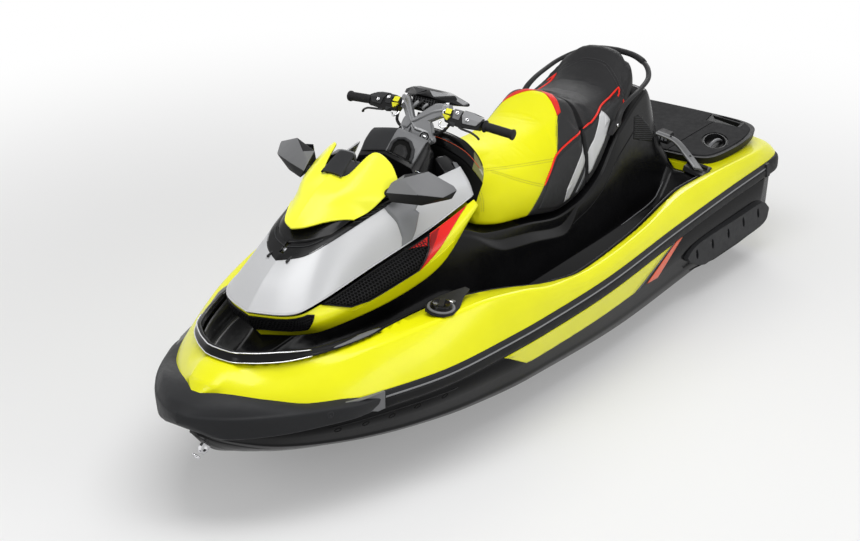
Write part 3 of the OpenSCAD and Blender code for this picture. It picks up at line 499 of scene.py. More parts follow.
RIM_Z = [[8, 475], [277, 500], [860, 515], [1400, 497], [1800, 500], [2000, 520],
         [2268, 552], [2850, 588], [3000, 580], [3300, 570], [3452, 500]]


def spread(*stops):
    """Stations: (from, to, step) spans end to end."""
    out = []
    for a, b, step in stops:
        n = max(1, round((b - a) / step))
        out += [a + (b - a) * k / n for k in range(n)]
    return out + [stops[-1][1]]


def whole(x, half):
    """A half section, from the keel up, made a closed ring."""
    h = np.asarray(half, float)
    h[1:-1, 0] = np.maximum(h[1:-1, 0], .5)
    back = h[::-1][int(h[-1][0] == 0):len(h) - int(h[0][0] == 0)]
    return [[x, y, z] for y, z in h] + [[x, -y, z] for y, z in back]


def hull_half(x):
    k, cy, cz = fair(KEEL_Z, x), fair(CHINE_Y, x), fair(CHINE_Z, x)
    sy = min(fair(SIDE_Y, x), (3482 - x) * 1.1 if x > 3440 else 9999)
    pts = [[0, k], [cy * .3, k + (cz - k) * .27], [cy * .33, k + (cz - k) * .245],
           [cy * .6, k + (cz - k) * .56], [cy * .63, k + (cz - k) * .52],
           [cy - 28 * cy / 530, cz - 6], [cy, cz],
           [cy + (sy - cy) * .3, cz + (BOND - cz) * .16], [cy + (sy - cy) * .33, cz + (BOND - cz) * .24],
           [cy + (sy - cy) * .5, cz + (BOND - cz) * .42], [sy, BOND]]
    return rounded(pts, [0, 4, 4, 4, 4, 5, 6, 8, 8, 30, 0], 3)


hull_x = spread((150, 700, 60), (700, 2600, 60), (2600, 3100, 35), (3100, 3350, 20), (3350, 3458, 12))
hull_shell = loft("hull_shell", [whole(x, hull_half(x)) for x in hull_x], black, "hull", "hull_black",
                  ["lower_hull"])
tunnel = [(-152, -20), (-152, 240)] + [(152 * math.cos(a) * -1, 240 + 60 * math.sin(a)) for a in
                                       (.3, .7, 1.1, 1.57, 2.04, 2.44, 2.84)] + [(152, 240), (152, -20)]
duct = [(700, -60), (1080, -60), (1080, 22), (900, 160), (790, 200), (610, 200), (610, 40), (700, 40)]
cut(hull_shell, prism(tunnel, 100, 620, "x"), prism(duct, -75, 75, "y"))


def topside_half(x):
    sy, ry, rz = fair(SIDE_Y, x), fair(RIDGE_Y, x), fair(RIDGE_Z, x)
    iy, iz = min(fair(RIM_Y, x), ry - 6), fair(RIM_Z, x)
    iy = iy if ry > iy + 12 else ry - 6
    return rounded([[sy, BOND], [sy, BOND + STRIP], [(sy + ry) / 2 + 5, (BOND + STRIP + rz) / 2 + 4],
                    [ry, rz], [(ry + iy) / 2, (rz + iz) / 2 + 1], [iy, iz]], [0, 3, 60, 14, 20, 0], 4)


def rim_outline(inset, x0, x1, step=30):
    xs = spread((x0, x1, step))
    half = [(x, fair(RIM_Y, x) - inset) for x in xs]
    return half + [(x, -y) for x, y in half[::-1]]


top_x = spread((8, 50, 7), (50, 200, 25), (200, 600, 40), (600, 2900, 50), (2900, 3300, 25),
               (3300, 3440, 10))
topside = loft("topside_shell", [whole(x, topside_half(x)) for x in top_x], *TOPSIDE, ["topside"])
cut(topside, prism(rim_outline(0, 600, 3290), BOND - 1, 800))

# ---- Camera, light and floor ----------------------------------------------------------------
CAM_TURN, CAM_RISE = math.radians(35.19), math.radians(24.30)
CAM_LENS, CAM_SENSOR, CAM_FAR = 83.3, 36, 200
CAM_AT = (7.8887 - HALF_L / 1000, 4.1162, 3.6736 - DRAFT / 1000)
FILL_POWER, LOW_SKY, HIGH_SKY, SKY_TOP = .42, (.55, .55, .56, 1), WHITE, .75
FLOOR_Z, FLOOR_R, FLOOR_GREY, FLOOR_ROUGH, FLOOR_SPEC = -.2805, 40, (.80, .80, .80, 1), .9, .1
FADE = (1.6, 4.6, .25, 1)      # the floor turns white from 1.6 m to 4.6 m out: a share of .25 to 1

back = Vector((math.cos(CAM_TURN) * math.cos(CAM_RISE), math.sin(CAM_TURN) * math.cos(CAM_RISE),
               math.sin(CAM_RISE)))
cam = bpy.data.objects.new("camera", bpy.data.cameras.new("camera"))
cam.data.lens, cam.data.sensor_width, cam.data.clip_end = CAM_LENS, CAM_SENSOR, CAM_FAR
cam.location = CAM_AT
cam.rotation_euler = back.to_track_quat("Z", "Y").to_euler()
scene.collection.objects.link(cam)
scene.camera = cam


def lamp(name, where, target, size, power):
    d = bpy.data.lights.new(name, "AREA")
    d.shape, d.size, d.size_y = "RECTANGLE", size[0], size[1]
    d.energy = power
    ob = bpy.data.objects.new(name, d)
    ob.location = where
    ob.rotation_euler = (Vector(where) - Vector(target)).to_track_quat("Z", "Y").to_euler()
    scene.collection.objects.link(ob)


lamp("key", (1.5, 1.0, 4.6), (0, 0, .3), (4.0, 2.2), 150)
lamp("port_side", (-.5, 5.0, 2.2), (0, 0, .3), (4.5, 1.2), 60)
lamp("bow", (5.5, -1.0, 2.6), (1, 0, .4), (1.2, 2.4), 45)
lamp("stern", (-5.0, -1.5, 3.0), (-.5, 0, .5), (2.5, 1.5), 70)


def shows_white(tree):
    """1 for the rays that see the white surround: from the camera, a gloss or through glass."""
    rays = tree.nodes.new("ShaderNodeLightPath")
    most = rays.outputs["Is Camera Ray"]
    for kind in ("Is Glossy Ray", "Is Transmission Ray"):
        either = tree.nodes.new("ShaderNodeMath")
        either.operation = "MAXIMUM"
        tree.links.new(most, either.inputs[0])
        tree.links.new(rays.outputs[kind], either.inputs[1])
        most = either.outputs[0]
    return most


world = bpy.data.worlds.new("world")
scene.world = world
world.use_nodes = True
wn, wl = world.node_tree.nodes, world.node_tree.links
wn.clear()
fill, seen = wn.new("ShaderNodeBackground"), wn.new("ShaderNodeBackground")
fill.inputs["Strength"].default_value = FILL_POWER
seen.inputs["Color"].default_value = WHITE
direction, split = wn.new("ShaderNodeTexCoord"), wn.new("ShaderNodeSeparateXYZ")
ramp, blend = wn.new("ShaderNodeValToRGB"), wn.new("ShaderNodeMixShader")
low_end, high_end = ramp.color_ramp.elements
low_end.position, low_end.color = 0, LOW_SKY
high_end.position, high_end.color = SKY_TOP, HIGH_SKY
for a, b in ((direction.outputs["Generated"], split.inputs[0]), (split.outputs["Z"], ramp.inputs[0]),
             (ramp.outputs["Color"], fill.inputs["Color"]), (shows_white(world.node_tree), blend.inputs[0]),
             (fill.outputs[0], blend.inputs[1]), (seen.outputs[0], blend.inputs[2]),
             (blend.outputs[0], wn.new("ShaderNodeOutputWorld").inputs[0])):
    wl.new(a, b)

floor_me = bpy.data.meshes.new("floor")
floor_me.from_pydata([(x * FLOOR_R, y * FLOOR_R, FLOOR_Z) for x, y in ((-1, -1), (1, -1), (1, 1), (-1, 1))],
                     [], [(0, 1, 2, 3)])
floor = bpy.data.objects.new("floor", floor_me)
scene.collection.objects.link(floor)
floor_mat = bpy.data.materials.new("floor")
floor_mat.use_nodes = True
fn, fl = floor_mat.node_tree.nodes, floor_mat.node_tree.links
ground = fn["Principled BSDF"]
ground.inputs["Base Color"].default_value = FLOOR_GREY
ground.inputs["Roughness"].default_value = FLOOR_ROUGH
ground.inputs["Specular IOR Level"].default_value = FLOOR_SPEC
glow, mixed = fn.new("ShaderNodeEmission"), fn.new("ShaderNodeMixShader")
glow.inputs["Color"].default_value = WHITE
spot, far, fade = fn.new("ShaderNodeTexCoord"), fn.new("ShaderNodeVectorMath"), fn.new("ShaderNodeMapRange")
far.operation = "LENGTH"
fade.interpolation_type = "SMOOTHSTEP"
for k, v in enumerate(FADE):
    fade.inputs[k + 1].default_value = v
share = fn.new("ShaderNodeMath")
share.operation = "MULTIPLY"
for a, b in ((spot.outputs["Object"], far.inputs[0]), (far.outputs["Value"], fade.inputs[0]),
             (shows_white(floor_mat.node_tree), share.inputs[0]), (fade.outputs[0], share.inputs[1]),
             (share.outputs[0], mixed.inputs[0]), (ground.outputs[0], mixed.inputs[1]),
             (glow.outputs[0], mixed.inputs[2]),
             (mixed.outputs[0], fn["Material Output"].inputs["Surface"])):
    fl.new(a, b)
floor_me.materials.append(floor_mat)

# ---- Bumpers -----------------------------------------------------------------------------
BOW_Y = [[2960, 447], [3060, 428], [3200, 362], [3300, 303], [3380, 243], [3450, 178],
         [3505, 100], [3530, 45], [3540, 8]]
BOW_CREASE = [[2960, 410], [3300, 440], [3540, 456]]
BOW_TOP = [[2960, 442], [3200, 452], [3300, 478], [3421, 508], [3500, 500], [3540, 470]]
BOW_FOOT = [[2960, 366], [3300, 366], [3460, 372], [3540, 430]]


def bow_half(x):
    y, c, t, b = (fair(g, x) for g in (BOW_Y, BOW_CREASE, BOW_TOP, BOW_FOOT))
    return rounded([[max(y - 30, 2), b], [y - 7, b + 9], [y, c - 14], [y, c + 6], [y - 12, c + 13],
                    [max(y - 44, 2), t]], [0, 6, 6, 5, 5, 0], 3)


loft("bow_bumper_shell", [whole(x, bow_half(x)) for x in
                          spread((2960, 3400, 25), (3400, 3500, 10), (3500, 3539.5, 4))],
     *BUMPER, ["bow_bumper"])

STRIP_FORM = [[-4, 2], [6, 3], [11, 9], [13, 16], [13, 36], [9, 41], [9, 45], [11, 47], [9, 50],
              [6, 66], [2, 69.5], [-4, 69]]


def strip_mesh(name, s, replaces):
    form = rounded(STRIP_FORM, 2, 2)
    tones = [0 if z < 42 else 1 if z < 49.5 else 2 for _, z in form]
    xs = spread((192, 2957, 45))
    rings = [[[x, s * (fair(SIDE_Y, x) + o), BOND + z] for o,
              z in (form if s > 0 else form[::-1])] for x in xs]
    tone = (tones if s > 0 else tones[::-1]) * (len(xs) - 1)
    loft(name, rings, [rubber_black, mid_grey, dark], "hull", "bumper_grey", [replaces], which=tone)


strip_mesh("left_bumper_rail", 1, "left_bumper")
strip_mesh("right_bumper_rail", -1, "right_bumper")

# Lap joint between bow bumper and side strip, with its round plug
for side, s in SIDES:
    def on_bow(x, z, out, s=s):
        return [x, s * (min(fair(BOW_Y, x), fair(SIDE_Y, x) + 16) + out), z]
    lap = [(3104, 441), (3130, 424), (3076, 398), (2992, 372), (2958, 372), (2958, 440), (3040, 437)]
    solid(f"{side}_bumper_lap", [on_bow(x, z, -24) for x, z in lap], [on_bow(x, z, 2.2) for x, z in lap],
          grey, "hull", "bumper_grey", 1.5)
    t = unit([1, s * (fair(BOW_Y, 3190) - fair(BOW_Y, 3160)) / 30, 0])
    turned(f"{side}_bumper_plug", [(0, 0), (12, 0), (12.5, 1), (12, 2), (9, 2.2), (8, 1.2), (0, 1.2)],
           [3174, s * (fair(BOW_Y, 3174) - 1.5), 418], [-t[1] * s, t[0] * s, 0], *BUMPER, 28)

# Stern bumper: one rounded band round the stern corners
STERN = [[192, 553], [150, 552], [110, 549], [78, 541], [50, 526], [28, 500], [13, 462], [7, 400],
         [4, 300], [3, 150], [3, 0]]
band = line([[x, y, 0] for x, y in STERN], 60)
band = across(band)
form = rounded([[-34, 0], [-5, 1], [0, 8], [1.5, 20], [1.5, 50], [-2, 62], [-10, 69], [-34, 69]], 5, 3)
rings = []
for i, p in enumerate(band):
    t = unit(heading(band, i))
    o = np.array([-t[1], t[0], 0])
    o = o if o @ (p - [700, 0, 0]) > 0 else -o
    rings.append([p + o * a + [0, 0, BOND + .5 + b] for a, b in form])
loft("stern_bumper_band", rings, rubber_black, "hull", "bumper_black", ["stern_bumper"])
for side, s in SIDES:
    solid(f"{side}_stern_joint",
          [[184, s * 540, BOND + 2], [214, s * 540, BOND + 2], [222, s * 540, BOND + 68],
                                  [192, s * 540, BOND + 68]],
          [[184, s * 558, BOND + 4], [214, s * 557, BOND + 4], [220, s * 556, BOND + 66],
           [190, s * 556, BOND + 66]], dark, "hull", "bumper_black", 2)


# ---- Bow mouth trim -------------------------------------------------------------------------
def rim_path(x_end):
    """(point, outward) pairs along the mouth's rim, from one side to the other round the bow."""
    xs = spread((x_end, 3100, 35), (3100, 3288, 12))
    half = np.array([[x, fair(RIM_Y, x), fair(RIM_Z, x)] for x in xs] + [[3290, 40, 568], [3291, 18, 568],
                                                                        [3292, 0, 568]])
    full = across(half)
    out = []
    for i, p in enumerate(full):
        t = unit(heading(full, i) * [1, 1, 0])
        o = np.array([t[1], -t[0], 0])
        o = -o if o @ ([2900, 0, 0] - p) > 0 else o
        out.append((p, o))
    return out


def along(i):
    """Point i's place on the rim: 0 at an end of it, 1 at the bow."""
    return 1 - abs(2 * i / (len(path) - 1) - 1)


def trim_rise(k):
    return 14 + 30 * min(1, k * 1.6)


def trim_form(k):
    h = trim_rise(k)
    return rounded([[-12, -30], [-6, -30], [-5, 5], [13, 6], [15, 12], [7, h * .6], [4, h], [-6, h + 2],
                    [-11, h - 4]], [0, 1, 2, 3, 3, 4, 4, 3, 0], 2)


path = rim_path(2830)
loft("mouth_trim_shell", [[p + o * a + [0, 0, b] for a, b in trim_form(along(i))]
                          for i, (p, o) in enumerate(path)], *TRIM, ["mouth_trim"])
for tag, out_by, lift, up in (("upper", 5.5, .97, 0), ("lower", 15, 0, 10)):
    tube(f"mouth_trim_{tag}_bead", [p + o * out_by + [0, 0, trim_rise(along(i)) * lift + up]
                                    for i, (p, o) in enumerate(path) if along(i) >= .30], 2.2, *STEEL, 10)
for side, s in SIDES:
    tail_pts = [[p[0], s * abs(p[1]), p[2]] for p, o in path[:8]]
    tube(f"{side}_trim_end", [np.array(p) + [0, s * 2, 15 - 3 * abs(i - 3) / 3] for i,
                              p in enumerate(tail_pts)],
         [3, 9, 12, 13, 12, 11, 9, 6], grey, "hull", "trim_black", 12, flat=.5)

# ---- Fittings ---------------------------------------------------------------------------------
cap_c, cap_n = np.array([2575, 418, 602.]), unit([0, .105, 1])
plate("fuel_cap_base", [(66, -6), (52, -40), (10, -58), (-60, -50), (-150, -18), (-196, 4), (-190, 26),
                        (-120, 34),
                        (-40, 56), (20, 58), (56, 36)], 5, cap_c - cap_n * 3, [1, .16, -.02],
                        [-.16, 1, -.105],
      *MOULDED, 2)
turned("fuel_cap_turned", [(0, 0), (50, 0), (52, 3), (51, 7), (46, 9.5), (42, 7), (40, 7), (39, 12),
                           (37, 19),
                           (34, 21), (30, 20), (28, 18), (0, 18)],
       cap_c, cap_n, [deck_black, grey], "hull", "trim_black", 48, ["fuel_cap"],
       which=[0, 1, 1, 1, 1, 0, 0, 0, 0, 0, 0, 0])
plate("fuel_cap_bar", [(-33, -7), (-30, -10), (30, -10), (33, -7), (33, 7), (30, 10), (-30, 10), (-33, 7)],
      8,
      cap_c + cap_n * 17, [1, .5, 0], [-.5, 1, 0], *MOULDED, 2)
for a in range(0, 360, 30):
    ca, sa = math.cos(math.radians(a)), math.sin(math.radians(a))
    tube(f"fuel_cap_rib_{a:03d}", [cap_c + np.array([38.6 * ca, 38.6 * sa, -38.6 * sa * .105]) + cap_n * h
                                   for h in (11, 14, 19)], [1.6, 2, 1.2], *TRIM, 8)
plate("fuel_cap_hinge", [(-18, -9), (14, -7), (18, 0), (14, 7), (-18, 9)], 7, cap_c + [-52, 6, 1],
      [1, -.2, 0],
      [.2, 1, 0], grey, "hull", "trim_black", 1.5)
turned("fuel_cap_hinge_pin", [(0, -16), (3.5, -16), (3.5, 16), (0, 16)], cap_c + [-46, 5, 11], [.2, 1, 0],
       *STEEL, 16)
for side, s in SIDES:
    c = np.array([2048, s * 561.0, 478])
    nrm = unit([.05, s * .72, .7])
    turned(f"{side}_round_badge",
           [(0, -6), (27, -6), (28, 1), (26, 3.5), (23, 4), (21.5, 2.2), (12, 2.8), (0, 3.6)],
           c, nrm, *STEEL, 40)

# ---- Fairing -----------------------------------------------------------------------------------
SILVER_ROWS = [
    [[2987, 0, 835], [2935, 80, 852], [2850, 125, 884], [2650, 165, 930], [2450, 200, 968],
     [2190, 235, 985]],
    [[3075, 0, 775], [3020, 105, 780], [2920, 155, 805], [2650, 196, 855], [2450, 232, 890],
     [2180, 268, 930]],
    [[3157, 0, 699], [3095, 140, 701], [2990, 188, 722], [2700, 212, 762], [2420, 250, 812],
     [2178, 288, 880]]]
POD_ROWS = [
    [[3148, 0, 686], [3085, 138, 688], [2980, 186, 708], [2690, 212, 747], [2410, 252, 796],
     [2180, 290, 862]],
    [[3122, 0, 636], [3060, 150, 640], [2960, 215, 660], [2650, 255, 690], [2380, 296, 745],
     [2176, 306, 838]],
    [[3085, 0, 582], [3010, 130, 588], [2920, 205, 606], [2620, 248, 612], [2380, 284, 668],
     [2190, 288, 800]]]
silver_grid = patch(SILVER_ROWS, 60, 16)
pod_grid = patch(POD_ROWS, 60, 18)
sheet_of("fairing_shell", both(silver_grid), silver, "hull", "fairing_silver", 6, ["front_fairing"])
sheet_of("lower_fairing_shell", both(pod_grid), *TOPSIDE, 6, ["lower_fairing"])


def inside(p, poly):
    hit = False
    for (x0, y0), (x1, y1) in zip(poly, poly[1:] + poly[:1]):
        if (y0 > p[1]) != (y1 > p[1]) and p[0] < (x1 - x0) * (p[1] - y0) / (y1 - y0) + x0:
            hit = not hit
    return hit


def cut_up(outline, splits, fine=0):
    """A flat outline as small faces: its points and faces. Edges no longer than fine stay whole."""
    bm = bmesh.new()
    bm.faces.new([bm.verts.new((a, b, 0)) for a, b in outline])
    bmesh.ops.triangulate(bm, faces=bm.faces)
    for _ in range(splits):
        bmesh.ops.subdivide_edges(bm, edges=[e for e in bm.edges if e.calc_length() > fine], cuts=1,
                                  use_grid_fill=True)
        if fine:
            bmesh.ops.triangulate(bm, faces=[f for f in bm.faces if len(f.verts) > 4])
    bm.verts.index_update()
    flat = [(v.co.x, v.co.y) for v in bm.verts]
    faces = [[v.index for v in f.verts] for f in bm.faces]
    bm.free()
    return flat, faces


def film(name, grid, outline, lift, mats, body, slot, side=1, splits=3, thick=.6):
    """A thin raised panel on a grid, from an outline in its own (u, v)."""
    flat, faces = cut_up(outline, splits)
    a, b, c = (flat[i] for i in faces[0][:3])
    turn = (b[0] - a[0]) * (c[1] - a[1]) - (b[1] - a[1]) * (c[0] - a[0])
    if (turn > 0) == (side > 0):
        faces = [f[::-1] for f in faces]
    pts = [(at(grid, u, v) + outward(grid, u, v) * lift) * [1, side, 1] for u, v in flat]
    ob = piece(name, pts, faces, mats, body)
    modifier(ob, "SOLIDIFY", thickness=thick / 1000, offset=-1)
    return ob


def comb(name, grid, outline, lift, deep, cell, mats, body, side=1, replaces=()):
    """A honeycomb of open cells over part of a grid."""
    mid = .5 * (min(v for _, v in outline) + max(v for _, v in outline))
    ends = [min(u for u, _ in outline), max(u for u, _ in outline)]
    run = sum(np.linalg.norm(at(grid, ends[0] + (ends[1] - ends[0]) * (k + 1) / 20, mid)
                             - at(grid, ends[0] + (ends[1] - ends[0]) * k / 20, mid)) for k in range(20))
    per_u = run / (ends[1] - ends[0])
    per_v = np.linalg.norm(at(grid, sum(ends) / 2, 1) - at(grid, sum(ends) / 2, 0))
    pts, faces = [], []
    rows = int(per_v / (1.5 * cell)) + 1
    cols = int(run / (math.sqrt(3) * cell)) + 2
    for r in range(rows):
        for c in range(cols):
            cu = ends[0] + (c + .5 * (r % 2)) * math.sqrt(3) * cell / per_u
            cv = (r + .5) * 1.5 * cell / per_v
            corner = [(cu + f * cell * math.sin(math.pi * k / 3) / per_u,
                       cv + f * cell * math.cos(math.pi * k / 3)
                       / per_v) for f in (1.0, .80) for k in range(6)]
            if not all(inside(q, outline) for q in corner[:6]):
                continue
            base = len(pts)
            nrm = outward(grid, cu, cv)
            front = [at(grid, u, v) + nrm * lift for u, v in corner]
            pts += [p * [1, side, 1] for p in front + [p - nrm * deep for p in front[6:]]]
            for k in range(6):
                j = (k + 1) % 6
                f1 = (base + k, base + j, base + 6 + j, base + 6 + k)
                f2 = (base + 6 + k, base + 6 + j, base + 12 + j, base + 12 + k)
                faces += [f1, f2] if side < 0 else [f1[::-1], f2[::-1]]
    return piece(name, pts, faces, mats, body, replaces, smooth=False)


def edging(name, grid, outline, lift, radius, mats, body, slot, side=1, flat=.6, closed=True):
    """A bead along an outline on a grid."""
    pts = []
    step = .02
    loops = zip(outline, outline[1:] + (outline[:1] if closed else []))
    for a, b in loops:
        n = max(2, int(math.hypot(b[0] - a[0], (b[1] - a[1]) * .3) / step))
        pts += [(a[0] + (b[0] - a[0]) * k / n, a[1] + (b[1] - a[1]) * k / n) for k in range(n)]
    if not closed:
        pts.append(outline[-1])
    world_pts = [(at(grid, u, v) + outward(grid, u, v) * lift) * [1, side, 1] for u, v in pts]
    return tube(name, world_pts, radius, mats, body, slot, 8, closed=closed, flat=flat)


def strands(name, paths, radius, mats, body, slot, sides=6):
    """Many thin tubes as one mesh."""
    pts, faces = [], []
    for path in paths:
        p = np.asarray(path, float)
        base = len(pts)
        for i in range(len(p)):
            r = radius * (.35 if i in (0, len(p) - 1) else 1)
            pts += ring(p[i], unit(heading(p, i)), r, sides, 1.0)
        faces += quads(len(p), sides, base, wrap=True)
        faces += [tuple(base + k for k in range(sides))[::-1],
                  tuple(base + (len(p) - 1) * sides + k for k in range(sides))]
    return piece(name, pts, faces, mats, body)


def oval(cx, cy, a, b, n=28, turn=0.0):
    c, s = math.cos(turn), math.sin(turn)
    return [(cx + a * math.cos(t) * c - b * math.sin(t) * s, cy + a * math.cos(t) * s + b * math.sin(t) * c)
            for t in (2 * math.pi * k / n for k in range(n))]


GRILLE = [(.405, .02), (.47, .50), (.52, .60), (.69, .60), (.755, .30), (.795, .02)]
RED = [(.70, .0), (.955, .0), (.935, .10), (.885, .24), (.80, .42), (.695, .64), (.695, .56), (.765, .28),
       (.80, .05), (.70, .015)]
RED_SHADE = [(.80, .05), (.835, .05), (.80, .22), (.735, .45), (.697, .60), (.695, .56), (.765, .28)]
FLASH = [(.66, .0), (.795, .0), (.835, .10), (.80, .20), (.825, .30), (.79, .42), (.80, .52), (.735, .99),
         (.70, .99), (.705, .78), (.69, .45), (.668, .2)]
for side, s in SIDES:
    film(f"{side}_grille_back", pod_grid, GRILLE, 1.5, *RECESS, s)
    comb(f"{side}_grille_comb", pod_grid, GRILLE, 6, 4.5, 8, mesh_black, "hull", s,
         [f"{side}_grille"])
    edging(f"{side}_grille_frame", pod_grid, GRILLE, 3, 5, *TRIM, s)
    film(f"{side}_red_blade", pod_grid, RED, 2.8, red, "hull", "topside_yellow", s, splits=4)
    film(f"{side}_red_shade", pod_grid, RED_SHADE, 4.6, red_dark, "hull", "topside_yellow", s, splits=4)
    film(f"{side}_silver_flash", silver_grid, FLASH, 1.0, silver_dark, "hull", "fairing_silver", s)
    edging(f"{side}_fairing_lip", silver_grid, [(u / 20, .985) for u in range(0, 20)] + [(.985, .985)], .5,
           3.5,
           silver, "hull", "fairing_silver", s, closed=False)
    edging(f"{side}_pod_crease", pod_grid, [(.47 + u / 40, .66 - u * .004) for u in range(0, 16)], .2, 3,
           *TOPSIDE, s, closed=False)

front_grid = both(pod_grid)
FRONT = [(.345, .13), (.5, .10), (.655, .13), (.672, .22), (.625, .60), (.5, .66), (.375, .60), (.328, .22)]
film("front_grille_back", front_grid, FRONT, 3.2, *RECESS, splits=4)
comb("front_grille_comb", front_grid, FRONT, 7.5, 3.5, 6.5, mesh_black, "hull", 1,
     ["front_grille"])
edging("front_grille_frame", front_grid, FRONT, 2.5, 4, *TRIM)

NOSE_ROWS = [
    [[2885, 0, 898], [2866, 58, 896], [2822, 104, 902], [2700, 146, 925], [2600, 170, 946],
     [2500, 190, 966]],
    [[2936, 0, 866], [2905, 72, 872], [2840, 116, 894], [2690, 154, 926], [2590, 176, 946],
     [2490, 196, 966]],
    [[2991, 0, 834], [2938, 82, 850], [2852, 128, 881], [2660, 167, 926], [2560, 184, 946],
     [2470, 200, 963]]]
nose_grid = patch(NOSE_ROWS, 40, 8)
nose = sheet_of("nose_panel", both(nose_grid), *TRIM, 5)
cut(nose, prism([[2900, -9], [2958, -9], [2958, 9], [2900, 9]], 800, 960))
for tag, ks in (("right", range(0, 15)), ("left", range(16, 31))):
    edging(f"{tag}_nose_crease", both(nose_grid),
           [(.32 + k * .36 / 30, .5 - abs(k / 30 - .5) * .2) for k in ks], 1,
           3, *DARK_TRIM, closed=False)
for side, s in SIDES:
    for k in range(6):
        u = .52 + k * .05
        film(f"{side}_nose_slot_{k}", nose_grid, [(u, .12), (u + .03, .12), (u + .036, .8), (u + .006, .8)],
             1.2,
             *RECESS, s, splits=1)
        edging(f"{side}_nose_fin_{k}", nose_grid, [(u + .04, .1), (u + .046, .8)], 2, 2.2, *DARK_TRIM, s,
               closed=False)

# ---- Hood with visor, mirrors and latch tab -------------------------------------------------------
HOOD_ROWS = [
    [[2470, 0, 1036], [2480, 60, 1036], [2500, 120, 1026], [2520, 150, 1006], [2540, 168, 982]],
    [[2660, 0, 1000], [2660, 60, 1000], [2662, 105, 990], [2665, 130, 975], [2668, 148, 948]],
    [[2920, 0, 880], [2905, 40, 884], [2880, 75, 890], [2850, 98, 895], [2820, 115, 900]]]
hood_grid = patch(HOOD_ROWS, 24, 24)
sheet_of("hood_shell", both(hood_grid), deck_black, "hood", "trim_black", 14, ["hood_base"])
turned("hood_knuckle", [(5.4, -30), (10, -30), (10, 30), (5.4, 30)], [2930, 0, 850], [0, 1, 0], alloy,
       "hood",
       "trim_black", 24)
solid("hood_knuckle_arm", [[2908, -5, 850], [2924, -5, 850], [2924, 5, 850], [2908, 5, 850]],
      [[2900, -5, 868], [2914, -5, 868], [2914, 5, 868], [2900, 5, 868]], powder, "hood", "trim_black", 1)
turned("hood_pin", [(0, -46), (5, -46), (5, 46), (0, 46)], [2930, 0, 850], [0, 1, 0], *STEEL, 20)
for side, s in SIDES:
    solid(f"{side}_hood_bracket", [[2924, s * 39, 843], [2985, s * 39, 832], [2985, s * 46, 832],
                                   [2924, s * 46, 843]],
          [[2924, s * 39, 856], [2985, s * 39, 840], [2985, s * 46, 840], [2924, s * 46, 856]], powder,
          "hull",
          "trim_black", 1)
VISOR_ROWS = [
    [[2661, 0, 1054], [2641, 51, 1053], [2530, 86, 1112], [2500, 140, 1078], [2515, 188, 1022]],
    [[2740, 0, 1032], [2732, 55, 1022], [2690, 98, 1030], [2640, 142, 1012], [2600, 180, 978]],
    [[2820, 0, 984], [2800, 55, 976], [2748, 98, 976], [2698, 134, 964], [2660, 160, 943]],
    [[2901, 0, 926], [2876, 45, 934], [2812, 86, 942], [2756, 120, 940], [2718, 144, 932]]]
visor_grid = patch(VISOR_ROWS, 32, 36)
sheet_of("visor_shell", both(visor_grid), yellow_visor, "hood", "visor_yellow", 9, ["visor"])
edging("visor_lip", both(visor_grid), [(k / 60, .985) for k in range(1, 60)], -2, 5, yellow_visor, "hood",
       "visor_yellow", closed=False, flat=1)
TAB = [[[2668, y, 1062 - dip], [2625, y * .9, 1085 - dip], [2572, y * .75, 1112 - dip],
        [2560, y * .72, 1106 - dip], [2556, y * .7, 1080 - dip]]
       for y, dip in ((-46, 9), (-34, 0), (34, 0), (46, 9))]
tab_grid = patch(TAB, 16, 9)
bevelled(sheet_of("latch_tab", tab_grid, [grey, dark], "hood", "trim_grey", 8,
                  which=[int(i < tab_grid.shape[0] * .45) for i in range(tab_grid.shape[0] - 1)
                         for _ in range(tab_grid.shape[1] - 1)]), 1.5)
for side, s in SIDES:
    film(f"{side}_visor_slot", visor_grid, [(.55, .03), (.80, .04), (.78, .14), (.60, .11)], -9, pit_black,
         "hood",
         "grille_black", s)
    hull_of(f"{side}_visor_horn_block", [[2600, s * 60, 1060], [2500, s * 70, 1085], [2480, s * 110, 1070],
                                         [2490, s * 150, 1040], [2580, s * 120, 1030], [2600, s * 90, 1060],
                                         [2470, s * 90, 1040]], deck_black, "hood", "trim_black", 4)
    # mirror: neck, faceted head and glass
    head = [[2592, s * 186, 1000], [2560, s * 186, 1028], [2500, s * 205, 1047], [2485, s * 300, 1075],
            [2462, s * 395, 1034], [2458, s * 407, 1018], [2470, s * 392, 984], [2534, s * 302, 958],
            [2590, s * 205, 968], [2540, s * 230, 1052], [2552, s * 300, 1005], [2510, s * 380, 1000],
            [2478, s * 300, 985], [2480, s * 210, 985]]
    mirror = hull_of(f"{side}_mirror_head", head, [rubber_black, grey], "hood", "bumper_black", 3.5,
                     [f"{side}_mirror"])
    # Facets that face up and towards the bow are grey and the rest are black: the grey is a painted
    # highlight.
    for f in mirror.data.polygons:
        f.material_index = int(f.normal.z > .3 and f.normal.x > .15)
    plate(f"{side}_mirror_glass", [(-78, -26), (60, -34), (88, 0), (70, 22), (-70, 34)], 2,
          [2476, s * 300, 1018], [0, s, -.1], [-.12, 0, 1], glass, "hood", "bumper_black", 1)
    tube(f"{side}_mirror_neck",
         line([[2570, s * 140, 975], [2570, s * 165, 985], [2560, s * 200, 1000]], 8),
         [24, 24, 23, 22, 21, 20, 20, 19, 18], rubber_black, "hood", "bumper_black", 14, flat=.8)
